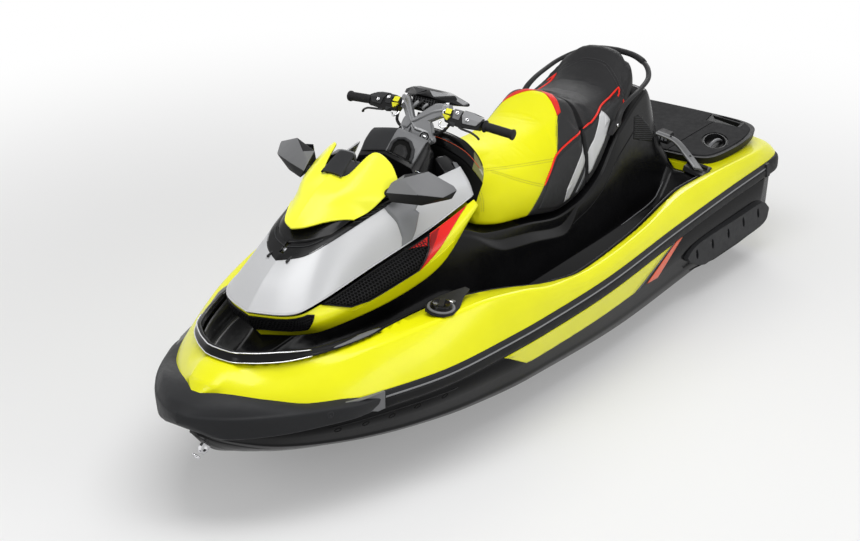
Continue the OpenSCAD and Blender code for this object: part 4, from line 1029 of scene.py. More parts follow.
# ---- Seats ------------------------------------------------------------------------------------
SEAT_FOOT = [[735, 888], [800, 870], [880, 838], [940, 805], [1000, 770], [1145, 630], [1300, 570],
             [1440, 556], [1715, 610], [2000, 665], [2100, 722]]
SEAT_TOP = [[735, 1020], [765, 1043], [850, 975], [950, 925], [1050, 920], [1130, 935], [1200, 955],
            [1270, 980], [1330, 956], [1452, 910], [1600, 900], [1750, 910], [1900, 935], [1980, 935],
            [2035, 880]]
SEAT_FOOT_Y = [[735, 120], [800, 180], [957, 212], [1145, 225], [1440, 238], [1715, 242], [1900, 235],
               [2000, 195], [2035, 120]]
SEAT_EDGE_Y = [[735, 92], [800, 146], [900, 170], [1100, 165], [1270, 160], [1450, 150], [1650, 130],
               [1850, 112], [2035, 70]]
SPLIT = 1240                         # where the two seats meet
RAY_SIDE, RAY_TOP = 600, 1300        # where rays onto the craft start


def seat_half(x):
    b, t = fair(SEAT_FOOT, x) + 6, fair(SEAT_TOP, x) - 3
    w, e = fair(SEAT_FOOT_Y, x) - 2, fair(SEAT_EDGE_Y, x)
    return [[w - 12, b], [w - 2, b + 10], [w - 3, b + (t - b) * .35], [(w + e) / 2 + 2, b + (t - b) * .68],
            [e, t - 52], [e * .80, t - 20], [e * .4, t - 5], [0, t - 2]]


def seat_line(x):
    return rounded(seat_half(x), [0, 8, 40, 40, 30, 30, 40, 0], 3)


def near(points, route):
    """How far each point is from a route, in its own units."""
    best = np.full(len(points), 1e9)
    for a, b in zip(route, route[1:]):
        d = b - a
        t = np.clip(((points - a) @ d) / max(d @ d, 1e-12), 0, 1)
        best = np.minimum(best, np.linalg.norm(points - a - t[:, None] * d, axis=1))
    return best


def skin(ob):
    bpy.context.view_layer.update()
    return BVHTree.FromObject(ob, bpy.context.evaluated_depsgraph_get())


def drop(trees, p, way):
    """The first point that a ray in mm meets on some pieces, with its normal."""
    hits = [t.ray_cast(Vector(place(p)), Vector(way).normalized()) for t in trees]
    hits = [h for h in hits if h[0] is not None]
    if not hits:
        return None
    loc, nrm, _, _ = min(hits, key=lambda h: h[3])
    return np.array(loc) * 1000 + [HALF_L, 0, DRAFT], np.array(nrm)


def closest(trees, p):
    loc, nrm, _, _ = min((t.find_nearest(Vector(place(p))) for t in trees), key=lambda h: h[3])
    return np.array(loc) * 1000 + [HALF_L, 0, DRAFT], np.array(nrm)


def freeze(ob):
    """Makes a piece's modifiers part of its mesh, shaded smooth."""
    apply_to(ob)
    ob.data.polygons.foreach_set("use_smooth", [True] * len(ob.data.polygons))


def per_vertex(me, key):
    """One vector for each vertex: its "co" or its "normal"."""
    v = np.empty(len(me.vertices) * 3, np.float32)
    me.vertices.foreach_get(key, v)
    return v.reshape(-1, 3)


def cushion(name, rings, mats, body, slot, replaces, seams, voxel, cap, groove=1.1, fill=.6):
    """A padded piece: its plain form is remeshed, blown up as cloth that its seams and its base
    hold, and then drawn in along the seams."""
    ob = loft(name, rings, mats, body, slot, replaces)
    modifier(ob, "REMESH", mode="VOXEL", voxel_size=voxel / 1000)
    modifier(ob, "SMOOTH", factor=.6, iterations=6)
    freeze(ob)
    start = per_vertex(ob.data, "co")
    tree = skin(ob)
    routes = [np.array([closest([tree], p)[0] for p in line(s, 8 * len(s))]) for s in seams]
    routes = [place(r) for r in routes]
    apart = np.min([near(start, r) for r in routes], axis=0)
    down = per_vertex(ob.data, "normal")[:, 2] < -.55
    held = (apart < .008) | down
    ob.vertex_groups.new(name="held").add([int(i) for i in np.nonzero(held)[0]], 1.0, "REPLACE")
    cloth = ob.modifiers.new("Cloth", "CLOTH")
    cloth.settings.vertex_group_mass = "held"
    cloth.settings.use_pressure = True
    cloth.settings.uniform_pressure_force = 4
    cloth.settings.effector_weights.gravity = 0
    cloth.point_cache.frame_start, cloth.point_cache.frame_end = 1, 20
    for f in range(1, 21):
        scene.frame_set(f)
    me = bpy.data.meshes.new_from_object(ob.evaluated_get(bpy.context.evaluated_depsgraph_get()))
    move = per_vertex(me, "co") - start
    ob.modifiers.clear()
    scene.frame_set(1)
    size = np.linalg.norm(move, axis=1, keepdims=True)
    move = move * np.minimum(1, (cap / 1000) / np.maximum(size, 1e-9))
    drawn = per_vertex(ob.data, "normal") * (np.exp(-(apart / .006) ** 2) * groove / 1000)[:, None]
    drawn[down] = 0
    ob.data.vertices.foreach_set("co", (start + move - drawn).astype(np.float32).ravel())
    ob.data.update()
    modifier(ob, "SUBSURF", levels=1, render_levels=1)
    freeze(ob)
    return ob


def mirrored(route):
    return [[x, -y, z] for x, y, z in route]


def split_tone(mat, edge, rear):
    """Gives the part of a material behind an edge another colour; the edge is [z, x] pairs in mm."""
    nt = mat.node_tree
    nodes, links = nt.nodes, nt.links
    b = nodes["Principled BSDF"]
    was = b.inputs["Base Color"].links[0].from_socket
    where, split = nodes.new("ShaderNodeTexCoord"), nodes.new("ShaderNodeSeparateXYZ")
    links.new(where.outputs["Object"], split.inputs[0])
    lo, hi = edge[0][0], edge[-1][0]
    ranged, curve, over = (nodes.new("ShaderNodeMapRange"), nodes.new("ShaderNodeFloatCurve"),
                           nodes.new("ShaderNodeMath"))
    ranged.inputs[1].default_value = (lo - DRAFT) / 1000
    ranged.inputs[2].default_value = (hi - DRAFT) / 1000
    links.new(split.outputs["Z"], ranged.inputs[0])
    pts = curve.mapping.curves[0].points
    x0, x1 = min(x for _, x in edge), max(x for _, x in edge)
    for i, (z, x) in enumerate(edge):
        at_z, at_x = (z - lo) / (hi - lo), (x - x0) / (x1 - x0)
        if i in (0, len(edge) - 1):
            pts[0 if i == 0 else -1].location = (at_z, at_x)
        else:
            pts.new(at_z, at_x)
    curve.mapping.update()
    links.new(ranged.outputs[0], curve.inputs["Value"])
    scale = nodes.new("ShaderNodeMapRange")
    scale.inputs[3].default_value = (x0 - HALF_L) / 1000
    scale.inputs[4].default_value = (x1 - HALF_L) / 1000
    links.new(curve.outputs[0], scale.inputs[0])
    over.operation = "GREATER_THAN"
    links.new(split.outputs["X"], over.inputs[0])
    links.new(scale.outputs[0], over.inputs[1])
    mix = nodes.new("ShaderNodeMix")
    mix.data_type = "RGBA"
    links.new(over.outputs[0], mix.inputs[0])
    mix.inputs[6].default_value = (*rear, 1)
    links.new(was, mix.inputs[7])
    links.new(mix.outputs[2], b.inputs["Base Color"])


TONE_EDGE = [[560, 1800], [626, 1708], [706, 1580], [788, 1442], [880, 1372], [929, 1330], [967, 1284],
             [980, 1262]]
split_tone(vinyl_yellow, TONE_EDGE, (.018, .018, .019))
FLAP_TOP = [[1980, 130, 872], [1869, 150, 850], [1700, 176, 822], [1560, 194, 795], [1468, 201, 777],
            [1443, 200, 785]]
FLAP_LOW = [[1869, 158, 845], [1756, 200, 787], [1660, 222, 742], [1585, 231, 708]]
NOSE_SEAM = [[1986, 202, 720], [1980, 196, 780], [1970, 160, 840], [1960, 130, 870]]
DISH = [[1443, 205, 800], [1435, 160, 865], [1420, 100, 900], [1412, 0, 912]]
COLOUR_EDGE = [[1708, 242, 626], [1580, 231, 707], [1442, 200, 790], [1385, 165, 880], [1330, 130, 929],
               [1284, 85, 967], [1263, 0, 978]]
driver_seams = [FLAP_TOP, FLAP_LOW, NOSE_SEAM, DISH, COLOUR_EDGE]
driver_seams += [mirrored(s) for s in driver_seams]
driver_x = spread((SPLIT + 4, 1300, 14), (1300, 1960, 30), (1960, 2009, 8))
driver = cushion("driver_seat_cushion", [whole(x, seat_line(x)) for x in driver_x], vinyl_yellow, "hull",
                 "seat_yellow",
                 ["driver_seat"], driver_seams, 8.5, 8)
RIM_SEAM = [[905, 200, 880], [882, 158, 915], [862, 118, 950], [838, 60, 985], [832, 0, 992]]
PANEL_SEAM = [[1160, 197, 850], [1036, 163, 877], [884, 158, 913], [930, 190, 840], [975, 215, 765]]
rider_seams = [RIM_SEAM, PANEL_SEAM, mirrored(RIM_SEAM), mirrored(PANEL_SEAM)]
rider_x = spread((738, 780, 7), (780, 850, 14), (850, SPLIT - 4, 30))
rider = cushion("passenger_seat_cushion", [whole(x, seat_line(x)) for x in rider_x], *BLACK_VINYL,
                ["passenger_seat"], rider_seams, 8.5, 8)
trees = [skin(driver), skin(rider)]


def drape(route, lift, n):
    """A route laid on the seats: (point, normal) pairs."""
    out = []
    for p in line(route, n):
        q, nrm = closest(trees, p)
        out.append((q + nrm * lift, nrm))
    return out


def stitches(name, route, offset, n, every=9.0, length=5.5, r=.7):
    """Two rows of thread beside a seam, as one mesh of short dashes."""
    laid = drape(route, .4, n)
    pts, faces = [], []
    run = 0.0
    for (a, na), (b, _) in zip(laid, laid[1:]):
        d = b - a
        run += np.linalg.norm(d)
        if run < every:
            continue
        run = 0.0
        t = unit(d)
        w = unit(np.cross(na, t))
        for s in offset:
            c, nc = closest(trees, a + w * s)
            base = len(pts)
            for end, lift in ((-.5, 0), (-.25, r), (.25, r), (.5, 0)):
                for k in range(4):
                    ang = math.pi / 2 * k
                    pts.append(c + t * length * end + nc * lift
                               + r * (math.cos(ang) * w + math.sin(ang) * nc))
            faces += [tuple(base + v for v in f) for f in quads(4, 4, wrap=True)]
            faces += [(base + 3, base + 2, base + 1, base), tuple(base + 12 + k for k in range(4))]
    return piece(name, pts, faces, thread, "hull")


def start_of(a, b, way):
    """Where a ray along way starts: beside the craft at [x, z], or above it at [x, y]."""
    return [a, -RAY_SIDE * way[1], b] if way[1] else [a, b, RAY_TOP]


def decal(name, outline, way, mats, lift=1.4, splits=4, thick=1.0, on=None, fine=12):
    """A sewn or printed patch: a flat outline, seen along way, laid on the seats or on another skin."""
    on = on or trees
    flat, faces = cut_up(outline, splits, fine)
    pts = []
    for a, b in flat:
        p = start_of(a, b, way)
        hit = drop(on, p, way)
        q, nrm = hit if hit else closest(on, [p[0], 200 * -way[1], p[2]])
        pts.append(q + nrm * lift)
    a, b, c = (pts[i] for i in faces[0][:3])
    if np.cross(b - a, c - a) @ np.asarray(way, float) > 0:
        faces = [f[::-1] for f in faces]
    ob = piece(name, pts, faces, mats, "hull")
    modifier(ob, "SOLIDIFY", thickness=thick / 1000, offset=-1)
    return ob


PIPE_FRONT = [[1580, 231, 707], [1510, 220, 748], [1443, 204, 792], [1338, 199, 819], [1246, 199, 835]]
PIPE_REAR = [[1234, 199, 838], [1160, 197, 850], [1100, 182, 862], [1036, 163, 877], [950, 158, 896],
             [884, 156, 914]]
PIPE_DOWN = [[884, 156, 914], [905, 172, 885], [935, 194, 835], [975, 215, 765]]
for side, s in SIDES:
    def port(route, s=s):
        return [[x, s * y, z] for x, y, z in route]
    for tag, route, r in (("front", PIPE_FRONT, 4.6), ("rear", PIPE_REAR, 4.6), ("down", PIPE_DOWN, 3.6)):
        laid = drape(port(route), r * .35, 40)
        tube(f"{side}_{tag}_piping", [p for p, _ in laid], [r * min(1, .4 + 6 * min(i, 40 - i) / 40)
             for i in range(41)], piping_red, "hull", "seat_black", 10, flat=.8)
    for tag, route, r in (("flap_top", FLAP_TOP, .9), ("flap_low", FLAP_LOW, .9), ("nose", NOSE_SEAM, .9)):
        tube(f"{side}_{tag}_seam", [p for p, _ in drape(port(route), -.3, 60)], r, vinyl_yellow, "hull",
             "seat_yellow", 6)
        stitches(f"{side}_{tag}_stitches", port(route), (-5, 5), 200)
    edge = port(COLOUR_EDGE)
    tube(f"{side}_colour_seam", [p for p, _ in drape(edge, -.4, 80)], 1.2, *BLACK_VINYL, 6)
    stitches(f"{side}_colour_stitches", edge, (-6, 6), 260)
    stitches(f"{side}_rim_stitches", port(RIM_SEAM), (-6, 6), 160)
    tube(f"{side}_rim_seam", [p for p, _ in drape(port(RIM_SEAM), -.4, 50)], 1.0, *BLACK_VINYL, 6)
    decal(f"{side}_seat_panel", [(1225, 822), (1160, 835), (1030, 862), (905, 892), (945, 835), (985, 765),
                                 (1060, 700), (1150, 650), (1225, 610)], (0, -s, 0), vinyl_grey,
          1.2)
    decal(f"{side}_front_panel",
          [(1255, 820), (1340, 802), (1436, 776), (1520, 728), (1560, 700), (1640, 625),
                                  (1480, 580), (1320, 590), (1255, 600)], (0, -s, 0), vinyl_grey,
          1.2)
    decal(f"{side}_slash_upper",
          [(1222, 735), (1160, 790), (1095, 852), (1062, 862), (1085, 800), (1040, 822),
                                  (1105, 745), (1175, 690), (1222, 640)], (0, -s, 0), white_film,
          2.6, thick=.6)
    decal(f"{side}_slash_lower",
          [(1258, 712), (1320, 660), (1400, 592), (1440, 590), (1370, 655), (1420, 640),
                                  (1330, 716), (1258, 778)], (0, -s, 0), white_film,
          2.6, thick=.6)
    decal(f"{side}_slash_line", [(1258, 680), (1330, 612), (1345, 596), (1325, 594), (1258, 655)],
          (0, -s, 0),
          silver_dark, 2.4, thick=.6)
decal("crest_insert", [(1266, 0), (1284, -40), (1310, -85), (1346, -135), (1322, -138), (1290, -100),
                       (1268, -60), (1262, 0), (1268, 60), (1290, 100), (1322, 138), (1346, 135),
                       (1310, 85),
                       (1284, 40)], (0, 0, -1), vinyl_red, 1.2)

# Strap across the seats, where they meet
STRAP_FOOT = 828
STRAP_ACROSS = (-20, -18, -9, 0, 9, 18, 20)
strap_rows = []
for _, y, z in line([[0, *h] for h in seat_line(SPLIT) if h[1] > STRAP_FOOT], 26):
    away = unit([0, .35 + y / 130, max(.15, (z - 800) / 170)])
    row = []
    for off in STRAP_ACROSS:
        p = np.array([SPLIT + off, y, z])
        hit = drop(trees, p + away * 90, -away)
        row.append((hit[0] if hit else p) + away * (1.6 if abs(off) < 19 else .6))
    strap_rows.append(row)
strap_half = np.array(strap_rows)[::-1]
full = across(strap_half)[::-1]
sheet_of("seat_strap_web", full, strap_web, "hull", "webbing", 3.2, ["seat_strap"], offset=1)

# ---- Grab handle --------------------------------------------------------------------------------
HANDLE = [[1040, 238, 800], [1000, 238, 858], [930, 238, 888], [840, 236, 907], [750, 222, 928],
          [682, 172, 955], [642, 90, 973], [632, 0, 978]]
hoop = across(line(HANDLE, 40))
n = len(hoop) - 1
tube("grab_hoop", hoop, [15 - 3.5 * abs(math.sin(math.pi * min(i, n - i) / 40)) if min(i,
                                                                                       n - i) < 40 else 15
                         for i in range(n + 1)], powder, "hull", "bar_black", 16, ["grab_handle"], flat=.72)
grip_part = hoop[30:-30]
tube("grab_pad", [p + [0, 0, 1] for p in grip_part], tapered(grip_part, 16.6, 14.6, 14.6), grip_rub,
     "hull", "bar_black", 16, flat=.74)
for side, s in SIDES:
    solid(f"{side}_handle_foot", [[1080, s * 218, 770], [1010, s * 224, 800], [1010, s * 246, 800],
                                  [1080, s * 246, 770]],
          [[1052, s * 222, 812], [1005, s * 226, 842], [1005, s * 246, 842], [1052, s * 246, 812]], powder,
          "hull",
          "bar_black", 3)
    turned(f"{side}_handle_bolt", [(0, 0), (8, 0), (8, 3), (5, 5.5), (4.4, 3.4), (0, 3.4)],
           [1040, s * 246, 806], [0, s, .1], *STEEL, 20)

# ---- Sprung deck ----------------------------------------------------------------------------------
HUMP_Z = [[560, 560], [640, 700], [700, 840], [735, 880], [800, 862], [880, 830], [940, 797], [1000, 762],
          [1145, 622], [1300, 562], [1440, 548], [1715, 602], [2000, 657], [2100, 700], [2250, 740],
          [2500, 740], [2800, 660], [3000, 590], [3200, 540]]
HUMP_Y = [[560, 190], [740, 205], [957, 220], [1400, 235], [1700, 238], [2000, 225], [2250, 185],
          [2500, 170], [2800, 130], [3000, 90], [3200, 50]]
HUMP_FOOT_Y = [[560, 290], [860, 285], [1300, 300], [1770, 300], [2100, 265], [2300, 220], [2600, 195],
               [3000, 125], [3200, 75]]
FLOOR_H = [[560, 500], [640, 490], [700, 430], [760, 378], [860, 360], [1400, 345], [1800, 345],
           [2000, 365], [2150, 425], [2300, 480], [3200, 495]]
LEDGE = [[1330, 0], [1480, 1], [1900, 1], [2060, .3], [2250, .12]]
DECK_GAP, DECK_WALL = 15, 8


def deck_line(x):
    hz, hy, fy, fz = (fair(g, x) for g in (HUMP_Z, HUMP_Y, HUMP_FOOT_Y, FLOOR_H))
    ry, rz = fair(RIM_Y, x) - DECK_GAP - DECK_WALL, fair(RIM_Z, x) - 4
    k = fair(LEDGE, x)
    pts = [[0, hz], [hy * .7, hz], [hy, hz - 10], [hy + 2 + 3 * k, hz - 16 - 36 * k],
           [hy + 6 + 24 * k, hz - 24 - 58 * k], [hy + (fy - hy) * .45 + 6 * k, hz - (hz - fz) * .5],
           [fy - 4, fz + 24], [fy + 16, fz], [max(fy + 24, ry - 26), fz], [max(fy + 30, ry - 12), fz + 12],
           [max(fy + 36, ry), max(rz, fz + 20)]]
    return rounded(pts, [0, 20, 8, 6, 7, 60, 14, 8, 6, 8, 0], 3)


deck_x = spread((625, 1000, 18), (1000, 2300, 30), (2300, 3200, 40))
deck_half = np.array([[[x, y, z] for y, z in deck_line(x)] for x in deck_x[::-1]])
deck_grid = np.concatenate([deck_half[:, :0:-1] * [1, -1, 1], deck_half], axis=1)
deck = sheet_of("deck_shell", deck_grid, *TRIM, 6, ["deck_body"])
cut(deck, prism([(2388, -102), (2712, -102), (2712, 102), (2388, 102)], 500, 950))
deck_skin = [skin(deck)]


def lay(on, pts, way, lift):
    """Points moved along a direction onto a skin; each is [x, z], or [x, y] from above."""
    out = []
    for a, b in pts:
        hit = drop(on, start_of(a, b, way), way)
        if hit:
            out.append(hit[0] + hit[1] * lift)
    return out


RIB_PATCH = [(862, 785), (815, 782), (742, 715), (702, 655), (742, 640), (880, 692)]
for side, s in SIDES:
    way = (0, -s, 0)
    decal(f"{side}_rib_panel", RIB_PATCH, way, rubber_black, 1.0, on=deck_skin)
    rows = []
    for k in range(17):
        d = 645 + k * 9
        row = [(x, d + (x - 790) * .28) for x in range(700, 884, 6)]
        row = [q for q in row if inside(q, RIB_PATCH)]
        if len(row) > 3:
            rows.append(lay(deck_skin, row, way, 1.6))
    strands(f"{side}_rib_rows", [r for r in rows if len(r) > 3], 2.2, *DARK_TRIM)
    # A bead along the foot of the hump side; its grey on the black deck is a painted highlight line.
    foot = [[x, s * (fair(HUMP_FOOT_Y, x) + 1), fair(FLOOR_H, x) + 15] for x in range(690, 2080, 30)]
    tube(f"{side}_foot_lip_painted_highlight", foot, tapered(foot, 3.6, 1.5, 1), grey, "hull", "trim_black", 8)
    crease = [[x, s * (fair(HUMP_Y, x) + (fair(HUMP_FOOT_Y, x) - fair(HUMP_Y, x)) * .3 + 6 * fair(LEDGE,
                                                                                                  x)),
               fair(HUMP_Z, x) - (fair(HUMP_Z, x) - fair(FLOOR_H, x)) * (.22 + .1 * (x - 800) / 600)]
              for x in range(800, 1430, 30)]
    crease = [closest(deck_skin, p)[0] for p in crease]
    tube(f"{side}_side_crease", crease, tapered(crease, 2.6, .6, .6), *TRIM, 8)
    # Foot mat: a cross-ribbed sheet on the floor
    xs = np.arange(800, 2052, 5.5)
    rows = []
    for i, x in enumerate(xs[::-1]):
        a, b = fair(HUMP_FOOT_Y, x) + 20, fair(RIM_Y, x) - DECK_GAP - DECK_WALL - 28
        z = fair(FLOOR_H, x) + (4.6 if (i // 2) % 2 else 2.6)
        rows.append([[x, s * (a + (b - a) * k / 8), z] for k in range(9)][::s])
    sheet_of(f"{side}_foot_mat_sheet", rows, mat_foam, "hull", "mat_black", 3, [f"{side}_foot_mat"])
    # Arch at the stern end of the footwell
    ARCH = [[[705, 246, 668], [640, 300, 622], [618, 352, 560], [660, 420, 532]],
            [[692, 244, 672], [622, 300, 628], [598, 356, 562], [648, 440, 530]],
            [[668, 240, 668], [596, 300, 620], [578, 362, 556], [636, 452, 522]]]
    arch = patch([[[x, s * y, z] for x, y, z in r] for r in (ARCH if s < 0 else ARCH[::-1])], 24, 8)
    bevelled(sheet_of(f"{side}_arch_band", arch, *GREY_TRIM, 12, [f"{side}_arch"]), 2)
    tube(f"{side}_arch_edge", [q + [0, 0, 1] for q in arch[:, 0 if s < 0 else -1]], 5, mid_grey, "hull",
         "trim_grey", 10, flat=.6)
    for k in (6, 17):
        turned(f"{side}_arch_screw_{k}", [(0, 0), (5, 0), (5, 2), (3, 2.6), (2.4, 1.2), (0, 1.2)],
               arch[k, 4] + [0, 0, -1], [.35, s * .6, .75], pit_black, "hull", "trim_grey", 16)
    # Shelf between the arch and the platform, with its hinge pin
    solid(f"{side}_shelf", [[640, s * 350, 498], [560, s * 350, 498], [575, s * 470, 498],
                            [690, s * 480, 498]],
          [[632, s * 352, 520], [562, s * 352, 524], [577, s * 462, 518], [680, s * 470, 512]], *DARK_TRIM,
          4)
    tube(f"{side}_shelf_pin", [[600, s * 356, 526], [604, s * 400, 526], [610, s * 455, 524]], 8, *MOULDED,
         14)
    # Latch at the foot of the hump
    solid(f"{side}_latch", [[622, s * 196, 600], [560, s * 196, 600], [560, s * 262, 592],
                            [622, s * 262, 592]],
          [[606, s * 200, 640], [556, s * 200, 640], [556, s * 258, 632], [606, s * 258, 632]], *MOULDED, 4)
    for k in range(3):
        y = s * (208 + k * 18)
        solid(f"{side}_latch_slot_{k}",
              [[619, y, 606], [615, y, 606], [615, y + s * 11, 606], [619, y + s * 11, 606]],
              [[613, y, 628], [609, y, 628], [609, y + s * 11, 628], [613, y + s * 11, 628]], mid_grey,
              "hull",
              "trim_grey", 1)

# ---- Stern platform --------------------------------------------------------------------------------
PLATFORM = [(575, 0), (575, 250), (560, 380), (500, 440), (300, 458), (140, 440), (60, 400), (22, 320),
            (10, 150), (8, 0)]


def platform_loop(inset, z):
    half = line([[x, y, 0] for x, y in PLATFORM], 54)
    mid = np.array([300, 0, 0])
    half = np.array([[x + (inset if x < mid[0] else -inset) * min(1, abs(x - mid[0]) / 200),
                      max(0, y - inset * min(1, y / 300)), z] for x, y, _ in half])
    return np.concatenate([half, (half * [1, -1, 1])[-2:0:-1]])


platform = solid("rear_platform_slab", platform_loop(5, 508), platform_loop(0, 540), *MOULDED, 0,
                 ["rear_platform"])


SLOT = [(36, 182), (70, 205), (112, 345), (64, 338)]
cut(platform, *[prism(oval(338, s * 350, 92, 48, turn=s * .5), 517, 560) for s in (1, -1)],
    *[prism([(x, s * y) for x, y in SLOT][::s], 500, 560) for s in (1, -1)])
bevelled(platform, 3)
deck_mat = solid("platform_mat_sheet", platform_loop(16, 540), platform_loop(19, 545), mat_foam, "hull",
                 "mat_black", 0, ["platform_mat"])
cut(deck_mat, *[prism(oval(338, s * 350, 104, 60, turn=s * .5), 530, 560) for s in (1, -1)],
    *[prism([(24, s * 170), (124, s * 190), (124, s * 362), (50, s * 352)][::s], 530, 560) for s in (1,
                                                                                                     -1)],
    *[prism([(130, s * 226), (600, s * 226), (600, s * 231), (130, s * 231)][::s], 530, 560) for s in (1,
                                                                                                       -1)])
bevelled(deck_mat, 1.2)
for side, s in SIDES:
    tube(f"{side}_cleat_bar", line([[398, s * 350, 524], [372, s * 350, 538], [338, s * 350, 543],
                                    [304, s * 350, 538], [278, s * 350, 524]], 16), 8.5, *GREY_TRIM, 12,
                                    flat=.8)
    rim = [[x, y, 541] for x, y in oval(338, s * 350, 95, 51, turn=s * .5)]
    tube(f"{side}_cleat_rim", rim, 4, *TRIM, 8, closed=True, flat=.6)

# ---- Hull side: films, recesses, sponsons and eyes ---------------------------------------------------
hull_skin = [skin(hull_shell)]
SPONSON = [(954, 247), (920, 212), (806, 154), (700, 148), (249, 143), (173, 200), (190, 236), (253, 272),
           (456, 278), (848, 284)]
for side, s in SIDES:
    way = (0, -s, 0)
    decal(f"{side}_hull_panel",
          [(2380, 364), (2330, 338), (2196, 262), (2160, 258), (1402, 258), (1110, 364)],
          way, yellow, 1.6, on=hull_skin, fine=30, thick=1.4)
    decal(f"{side}_hull_stripe", [(1067, 366), (1296, 256), (1196, 243), (1010, 366)], way, orange,
          1.8, on=hull_skin, fine=24, thick=1.4)
    decal(f"{side}_hull_line", [(1093, 366), (1385, 256), (1372, 256), (1080, 366)], way, silver_dark,
          1.4, on=hull_skin, fine=24, thick=1.0)
    for k, (x, z) in enumerate([(3083, 305), (2984, 301), (2884, 301), (2785, 309), (2664, 308)]):
        hit = drop(hull_skin, [x, s * 600, z], way)
        if hit:
            turned(f"{side}_hull_port_{k}", [(0, -2), (13, -2), (14, .6), (12, 1.6), (10, .8), (9, -1.6),
                                             (0, -1.6)], hit[0], hit[1], *RECESS, 24)
    strake = lay(hull_skin, [(x, 338 - 14 * abs((x - 2900) / 330) ** 2) for x in range(2610, 3150, 20)],
                 way, .5)
    tube(f"{side}_hull_crease", strake, tapered(strake, 3.4, .8, .8), black, "hull", "hull_black", 8)
    # sponson with a chamfered face and five slots
    rim = line([[x, 0, z] for x, z in SPONSON + SPONSON[:1]], 60)[:-1]
    mid = rim.mean(axis=0)
    inner = np.array([[x, s * 520, z] for x, _, z in rim])
    outer = np.array([[p[0] + (mid[0] - p[0]) * .015, s * 562, p[2] + (mid[2] - p[2]) * .10] for p in rim])
    fin = solid(f"{side}_sponson_body", (inner if s > 0 else inner[::-1]),
                (outer if s > 0 else outer[::-1]), *BUMPER, 0, [f"{side}_sponson"])
    slots = [prism(oval(x, z, 9, 27, 16, turn=-.3), s * 548, s * 575, "y") for x, z in
             ((862, 232), (721, 230), (574, 228), (431, 232), (287, 226))]
    cut(fin, *slots)
    bevelled(fin, 3)
    for k, x in enumerate((862, 721, 574, 431, 287)):
        turned(f"{side}_sponson_bolt_{k}", [(0, 0), (7, 0), (7, 3), (4, 4), (3.4, 2.4), (0, 2.4)],
               [x - 2, s * 549, 231 if x > 500 else 228], [0, s, 0], *STEEL, 18)
    tube(f"{side}_sponson_blade", [[900, s * 548, 168], [700, s * 556, 152], [480, s * 558, 150],
                                   [230, s * 556, 152]], [3, 7, 7, 4], rubber_black, "hull", "bumper_grey",
                                   10,
         flat=.6)
tube("tow_ring", [[3452 + 10 * math.cos(a), 14 * math.sin(a), 262 + 12 * math.cos(a)] for a in
                  (2 * math.pi * k / 24 for k in range(24))], 3, *STEEL, 8, closed=True)

# ---- Jet drive: fastenings and ribs on the pump, and screws in the plate below it ---------------------
for k in range(8):
    a = 2 * math.pi * (k + .5) / 8
    turned(f"pump_bolt_{k}", [(0, 0), (6, 0), (6, 5), (3.4, 6), (0, 6)],
           [424, 90 * math.cos(a), 120 + 90 * math.sin(a)], [-1, 0, 0], *STEEL, 12)
for k in range(6):
    a = 2 * math.pi * k / 6
    strands(f"nozzle_rib_{k}", [[[x, r * math.cos(a), 120 + r * math.sin(a)] for x, r in
                                ((244, 65), (230, 62.5), (206, 57), (184, 51))]], 4, alloy, "nozzle",
                                "cast_alloy")
for side, s in SIDES:
    for k, x in enumerate((380, 560)):
        turned(f"{side}_plate_screw_{k}", [(0, 0), (9, 0), (9, 2), (5, 3), (4, 1.5), (0, 1.5)],
               [x, s * 110, 6], [0, 0, -1], *STEEL, 16)


# ---- Console, dash and gauges ---------------------------------------------------------------------
TILT = math.radians(25)              # the steering column leans back
BAR_DROOP, BAR_SWEEP = math.radians(-3), math.radians(8)


def col(p):
    """A point of the steering column's own frame, in mm of the table of offsets."""
    x, y, z = p
    return np.array([2130 + x * math.cos(TILT) - z * math.sin(TILT), y,
                     1040 + x * math.sin(TILT) + z * math.cos(TILT)])


def turned_way(d):
    """A direction of the column's own frame."""
    return col(d) - col([0, 0, 0])


def bar(p, s=1):
    """A point beside the handlebar: ahead of it, below it and out along it; s is 1 to port."""
    x, y, z = p
    a, b = BAR_DROOP, BAR_SWEEP
    y, z = y * math.cos(a) - z * math.sin(a), y * math.sin(a) + z * math.cos(a)
    x, z = x * math.cos(b) - z * math.sin(b), x * math.sin(b) + z * math.cos(b)
    return col([x - 2, s * (70 + z), 102 - y])


CONSOLE = [[2205, 760, 120, 1020, 100, 1056, 1076], [2240, 760, 130, 1040, 127, 1074, 1100],
           [2262, 760, 133, 1034, 127, 1066, 1100], [2300, 760, 134, 1006, 126, 1040, 1070],
           [2346, 760, 134, 960, 122, 1000, 1032]]
console = loft("console_shell",
               [whole(x, rounded([[w, foot], [w + 7, side_z], [e, edge_z], [0, top_z]], [0, 6, 6, 0],
                                 2)) for x, foot, w, side_z, e, edge_z, top_z in CONSOLE], deck_black,
                                 "hull", "trim_grey", ["console"])
ROUND = 40
notch = [col([100 * math.cos(a), 100 * math.sin(a), h]) for h in (-44, 160)
         for a in (2 * math.pi * k / ROUND for k in range(ROUND))]
cut(console, cutter(notch, drum(ROUND)))
bevelled(console, 2)
face = both(patch([[[2243, 0, 1103], [2242, 62, 1092], [2240, 124, 1078]],
                   [[2264, 0, 1102], [2264, 62, 1090], [2262, 125, 1071]],
                   [[2300, 0, 1075], [2300, 62, 1063], [2300, 125, 1045]],
                   [[2338, 0, 1044], [2337, 62, 1031], [2332, 120, 1014]]], 12, 12))
half_face = (face.shape[0] - 1) // 2
# The port half of the face is grey and the starboard half is dark: the dark starboard half is painted
# shade.
sheet_of("console_face", face, [grey, dark], "hull", "trim_grey", 4,
         which=[int(i < half_face) for i in range(face.shape[0] - 1) for _ in range(face.shape[1] - 1)])
port_face = face[half_face:]
arch = [(.14, .99), (.12, .74), (.22, .58), (.40, .50), (.60, .52), (.76, .66), (.84, .84), (.86, .99)]
film("console_recess", port_face, arch, 1.6, *RECESS, splits=2)
